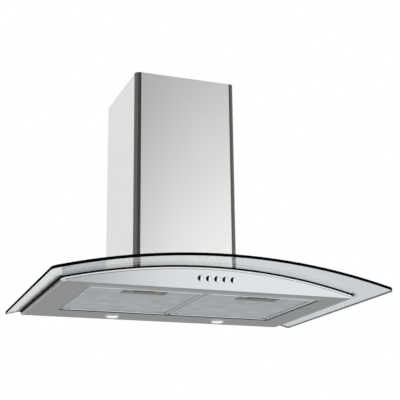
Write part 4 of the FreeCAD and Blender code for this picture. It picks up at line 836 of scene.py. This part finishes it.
def makeFloor():
    material, tree, _ = newMaterial("paleFloor")
    matt = addNode(tree, "ShaderNodeBsdfDiffuse", {"Color": tone(studio["floorTone"])})
    white = addNode(tree, "ShaderNodeEmission", {"Color": tone("#ffffff"), "Strength": 1.0})
    share = addNode(tree, "ShaderNodeMath", {"operation": "MULTIPLY", 1: studio["floorWhite"]},
                    {0: seenDirectly(tree).outputs[0]})
    mixed = addNode(tree, "ShaderNodeMixShader", {}, {
        0: share.outputs[0], 1: matt.outputs[0], 2: white.outputs[0]})
    closeMaterial(tree, mixed)
    half, z = studio["floorSize"] / 2, studio["floorZ"]
    stagePlane("floor", [(-half, -half, z), (half, -half, z), (half, half, z), (-half, half, z)],
               material)


def makeWorld():
    world = bpy.data.worlds.new("studioRoom")
    bpy.context.scene.world = world
    world.use_nodes = True
    tree = world.node_tree
    tree.nodes.clear()
    white = addNode(tree, "ShaderNodeBackground", {"Color": tone("#ffffff"), "Strength": 1.0})
    fill = addNode(tree, "ShaderNodeBackground", {"Color": tone("#ffffff"),
                                                 "Strength": studio["fill"]})
    mixed = addNode(tree, "ShaderNodeMixShader", {}, {
        0: seenDirectly(tree).outputs[0], 1: fill.outputs[0], 2: white.outputs[0]})
    addNode(tree, "ShaderNodeOutputWorld", {}, {"Surface": mixed.outputs[0]})


lamps = {
    # name: place, aimed at, width, height, watts
    "keyBox": ((-1.9, -2.6, 1.9), (0.0, -0.2, 0.2), 1.8, 1.8, 62.0),
    "fillBox": ((2.4, -2.0, 0.9), (0.0, -0.2, 0.2), 1.6, 1.6, 30.0),
    "underBox": ((-0.4, -1.6, -2.0), (0.0, -0.2, 0.0), 2.0, 2.0, 34.0),
    "rearBox": ((1.2, 2.6, 1.8), (0.0, -0.1, 0.3), 1.8, 1.8, 40.0),
}


def makeLamp(name):
    place, target, width, height, watts = lamps[name]
    data = bpy.data.lights.new(name, "AREA")
    data.shape = "RECTANGLE"
    data.size, data.size_y = width, height
    data.energy = watts
    lamp = bpy.data.objects.new(name, data)
    way = Vector(target) - Vector(place)
    lamp.matrix_world = Matrix.Translation(place) @ way.to_track_quat("-Z", "Y").to_matrix().to_4x4()
    lamp.visible_camera = False
    lamp.visible_glossy = False
    lamp.visible_transmission = False
    bpy.context.scene.collection.objects.link(lamp)


# Upright cards that stand in for the photo's studio. Mirror cards show only in reflections; glass
# cards show only through the glass, as the studio wall behind the cut-out hood did. A card with a
# fade has the level peak - left*(right - x) - up*(z - low) over its span, never under the least.
cards = {
    "frontShade": {"corners": ((-2.4, -3.0, 0.3), (3.4, -3.0, 3.4)), "seenBy": "mirrors",
                   "fade": {"peak": 1.14, "right": 1.02, "low": 0.75, "left": 1.2, "up": 0.45,
                            "least": 0.38, "span": 3.0}},
    "leftShade": {"corners": ((-2.6, -3.0, -1.7), (0.60, -3.0, -0.6)), "seenBy": "mirrors",
                  "grey": "#a4a5a6"},
    "sideShade": {"corners": ((-2.8, 3.0, 0.4), (-0.3, 3.0, 2.6)), "seenBy": "mirrors",
                  "grey": "#e8e8e8"},
    "underCard": {"corners": ((-0.5, 2.4, -2.35), (3.6, 2.4, 0.35)), "seenBy": "mirrors",
                  "grey": "#9c9d9d"},
    "wallShade": {"corners": ((-1.55, 2.4, -1.25), (-0.5, 2.4, -0.45)), "seenBy": "mirrors",
                  "grey": "#9c9d9d"},
    "wallCard": {"corners": ((0.62, 1.3, -0.6), (2.6, 1.3, 1.6)), "seenBy": "glass",
                 "grey": "#dfe1e3"},
    "wallDark": {"corners": ((0.055, 1.3, 0.36), (0.62, 1.3, 1.6)), "seenBy": "glass",
                 "grey": "#b4b7b8"},
}


def makeCard(name):
    card = cards[name]
    material, tree, place = newMaterial(name)
    if "fade" in card:
        fade = card["fade"]
        split = addNode(tree, "ShaderNodeSeparateXYZ", {}, {"Vector": place.outputs["Object"]})
        span = fade["span"]
        leftPart = addNode(tree, "ShaderNodeMapRange", {
            1: fade["right"] - span, 2: fade["right"], 3: -span * fade["left"], 4: 0.0},
            {0: split.outputs[0]})
        upPart = addNode(tree, "ShaderNodeMapRange", {
            1: fade["low"], 2: fade["low"] + span, 3: fade["peak"],
            4: fade["peak"] - span * fade["up"]}, {0: split.outputs[2]})
        total = addNode(tree, "ShaderNodeMath", {"operation": "ADD"},
                        {0: leftPart.outputs[0], 1: upPart.outputs[0]})
        level = addNode(tree, "ShaderNodeMath", {"operation": "MAXIMUM", 1: fade["least"]},
                        {0: total.outputs[0]})
        glow = addNode(tree, "ShaderNodeEmission", {"Strength": 1.0}, {"Color": level.outputs[0]})
    else:
        glow = addNode(tree, "ShaderNodeEmission", {"Color": tone(card["grey"]), "Strength": 1.0})
    closeMaterial(tree, glow)
    (x0, y, z0), (x1, _, z1) = card["corners"]
    piece = stagePlane(name, [(x0, y, z0), (x1, y, z0), (x1, y, z1), (x0, y, z1)], material)
    piece.visible_camera = False
    piece.visible_diffuse = False
    piece.visible_shadow = False
    piece.visible_glossy = card["seenBy"] == "mirrors"
    piece.visible_transmission = card["seenBy"] == "glass"


makeFloor()
makeWorld()
for name in lamps:
    makeLamp(name)
for name in cards:
    makeCard(name)
bpy.context.scene.view_settings.view_transform = "Standard"
print("studio set")
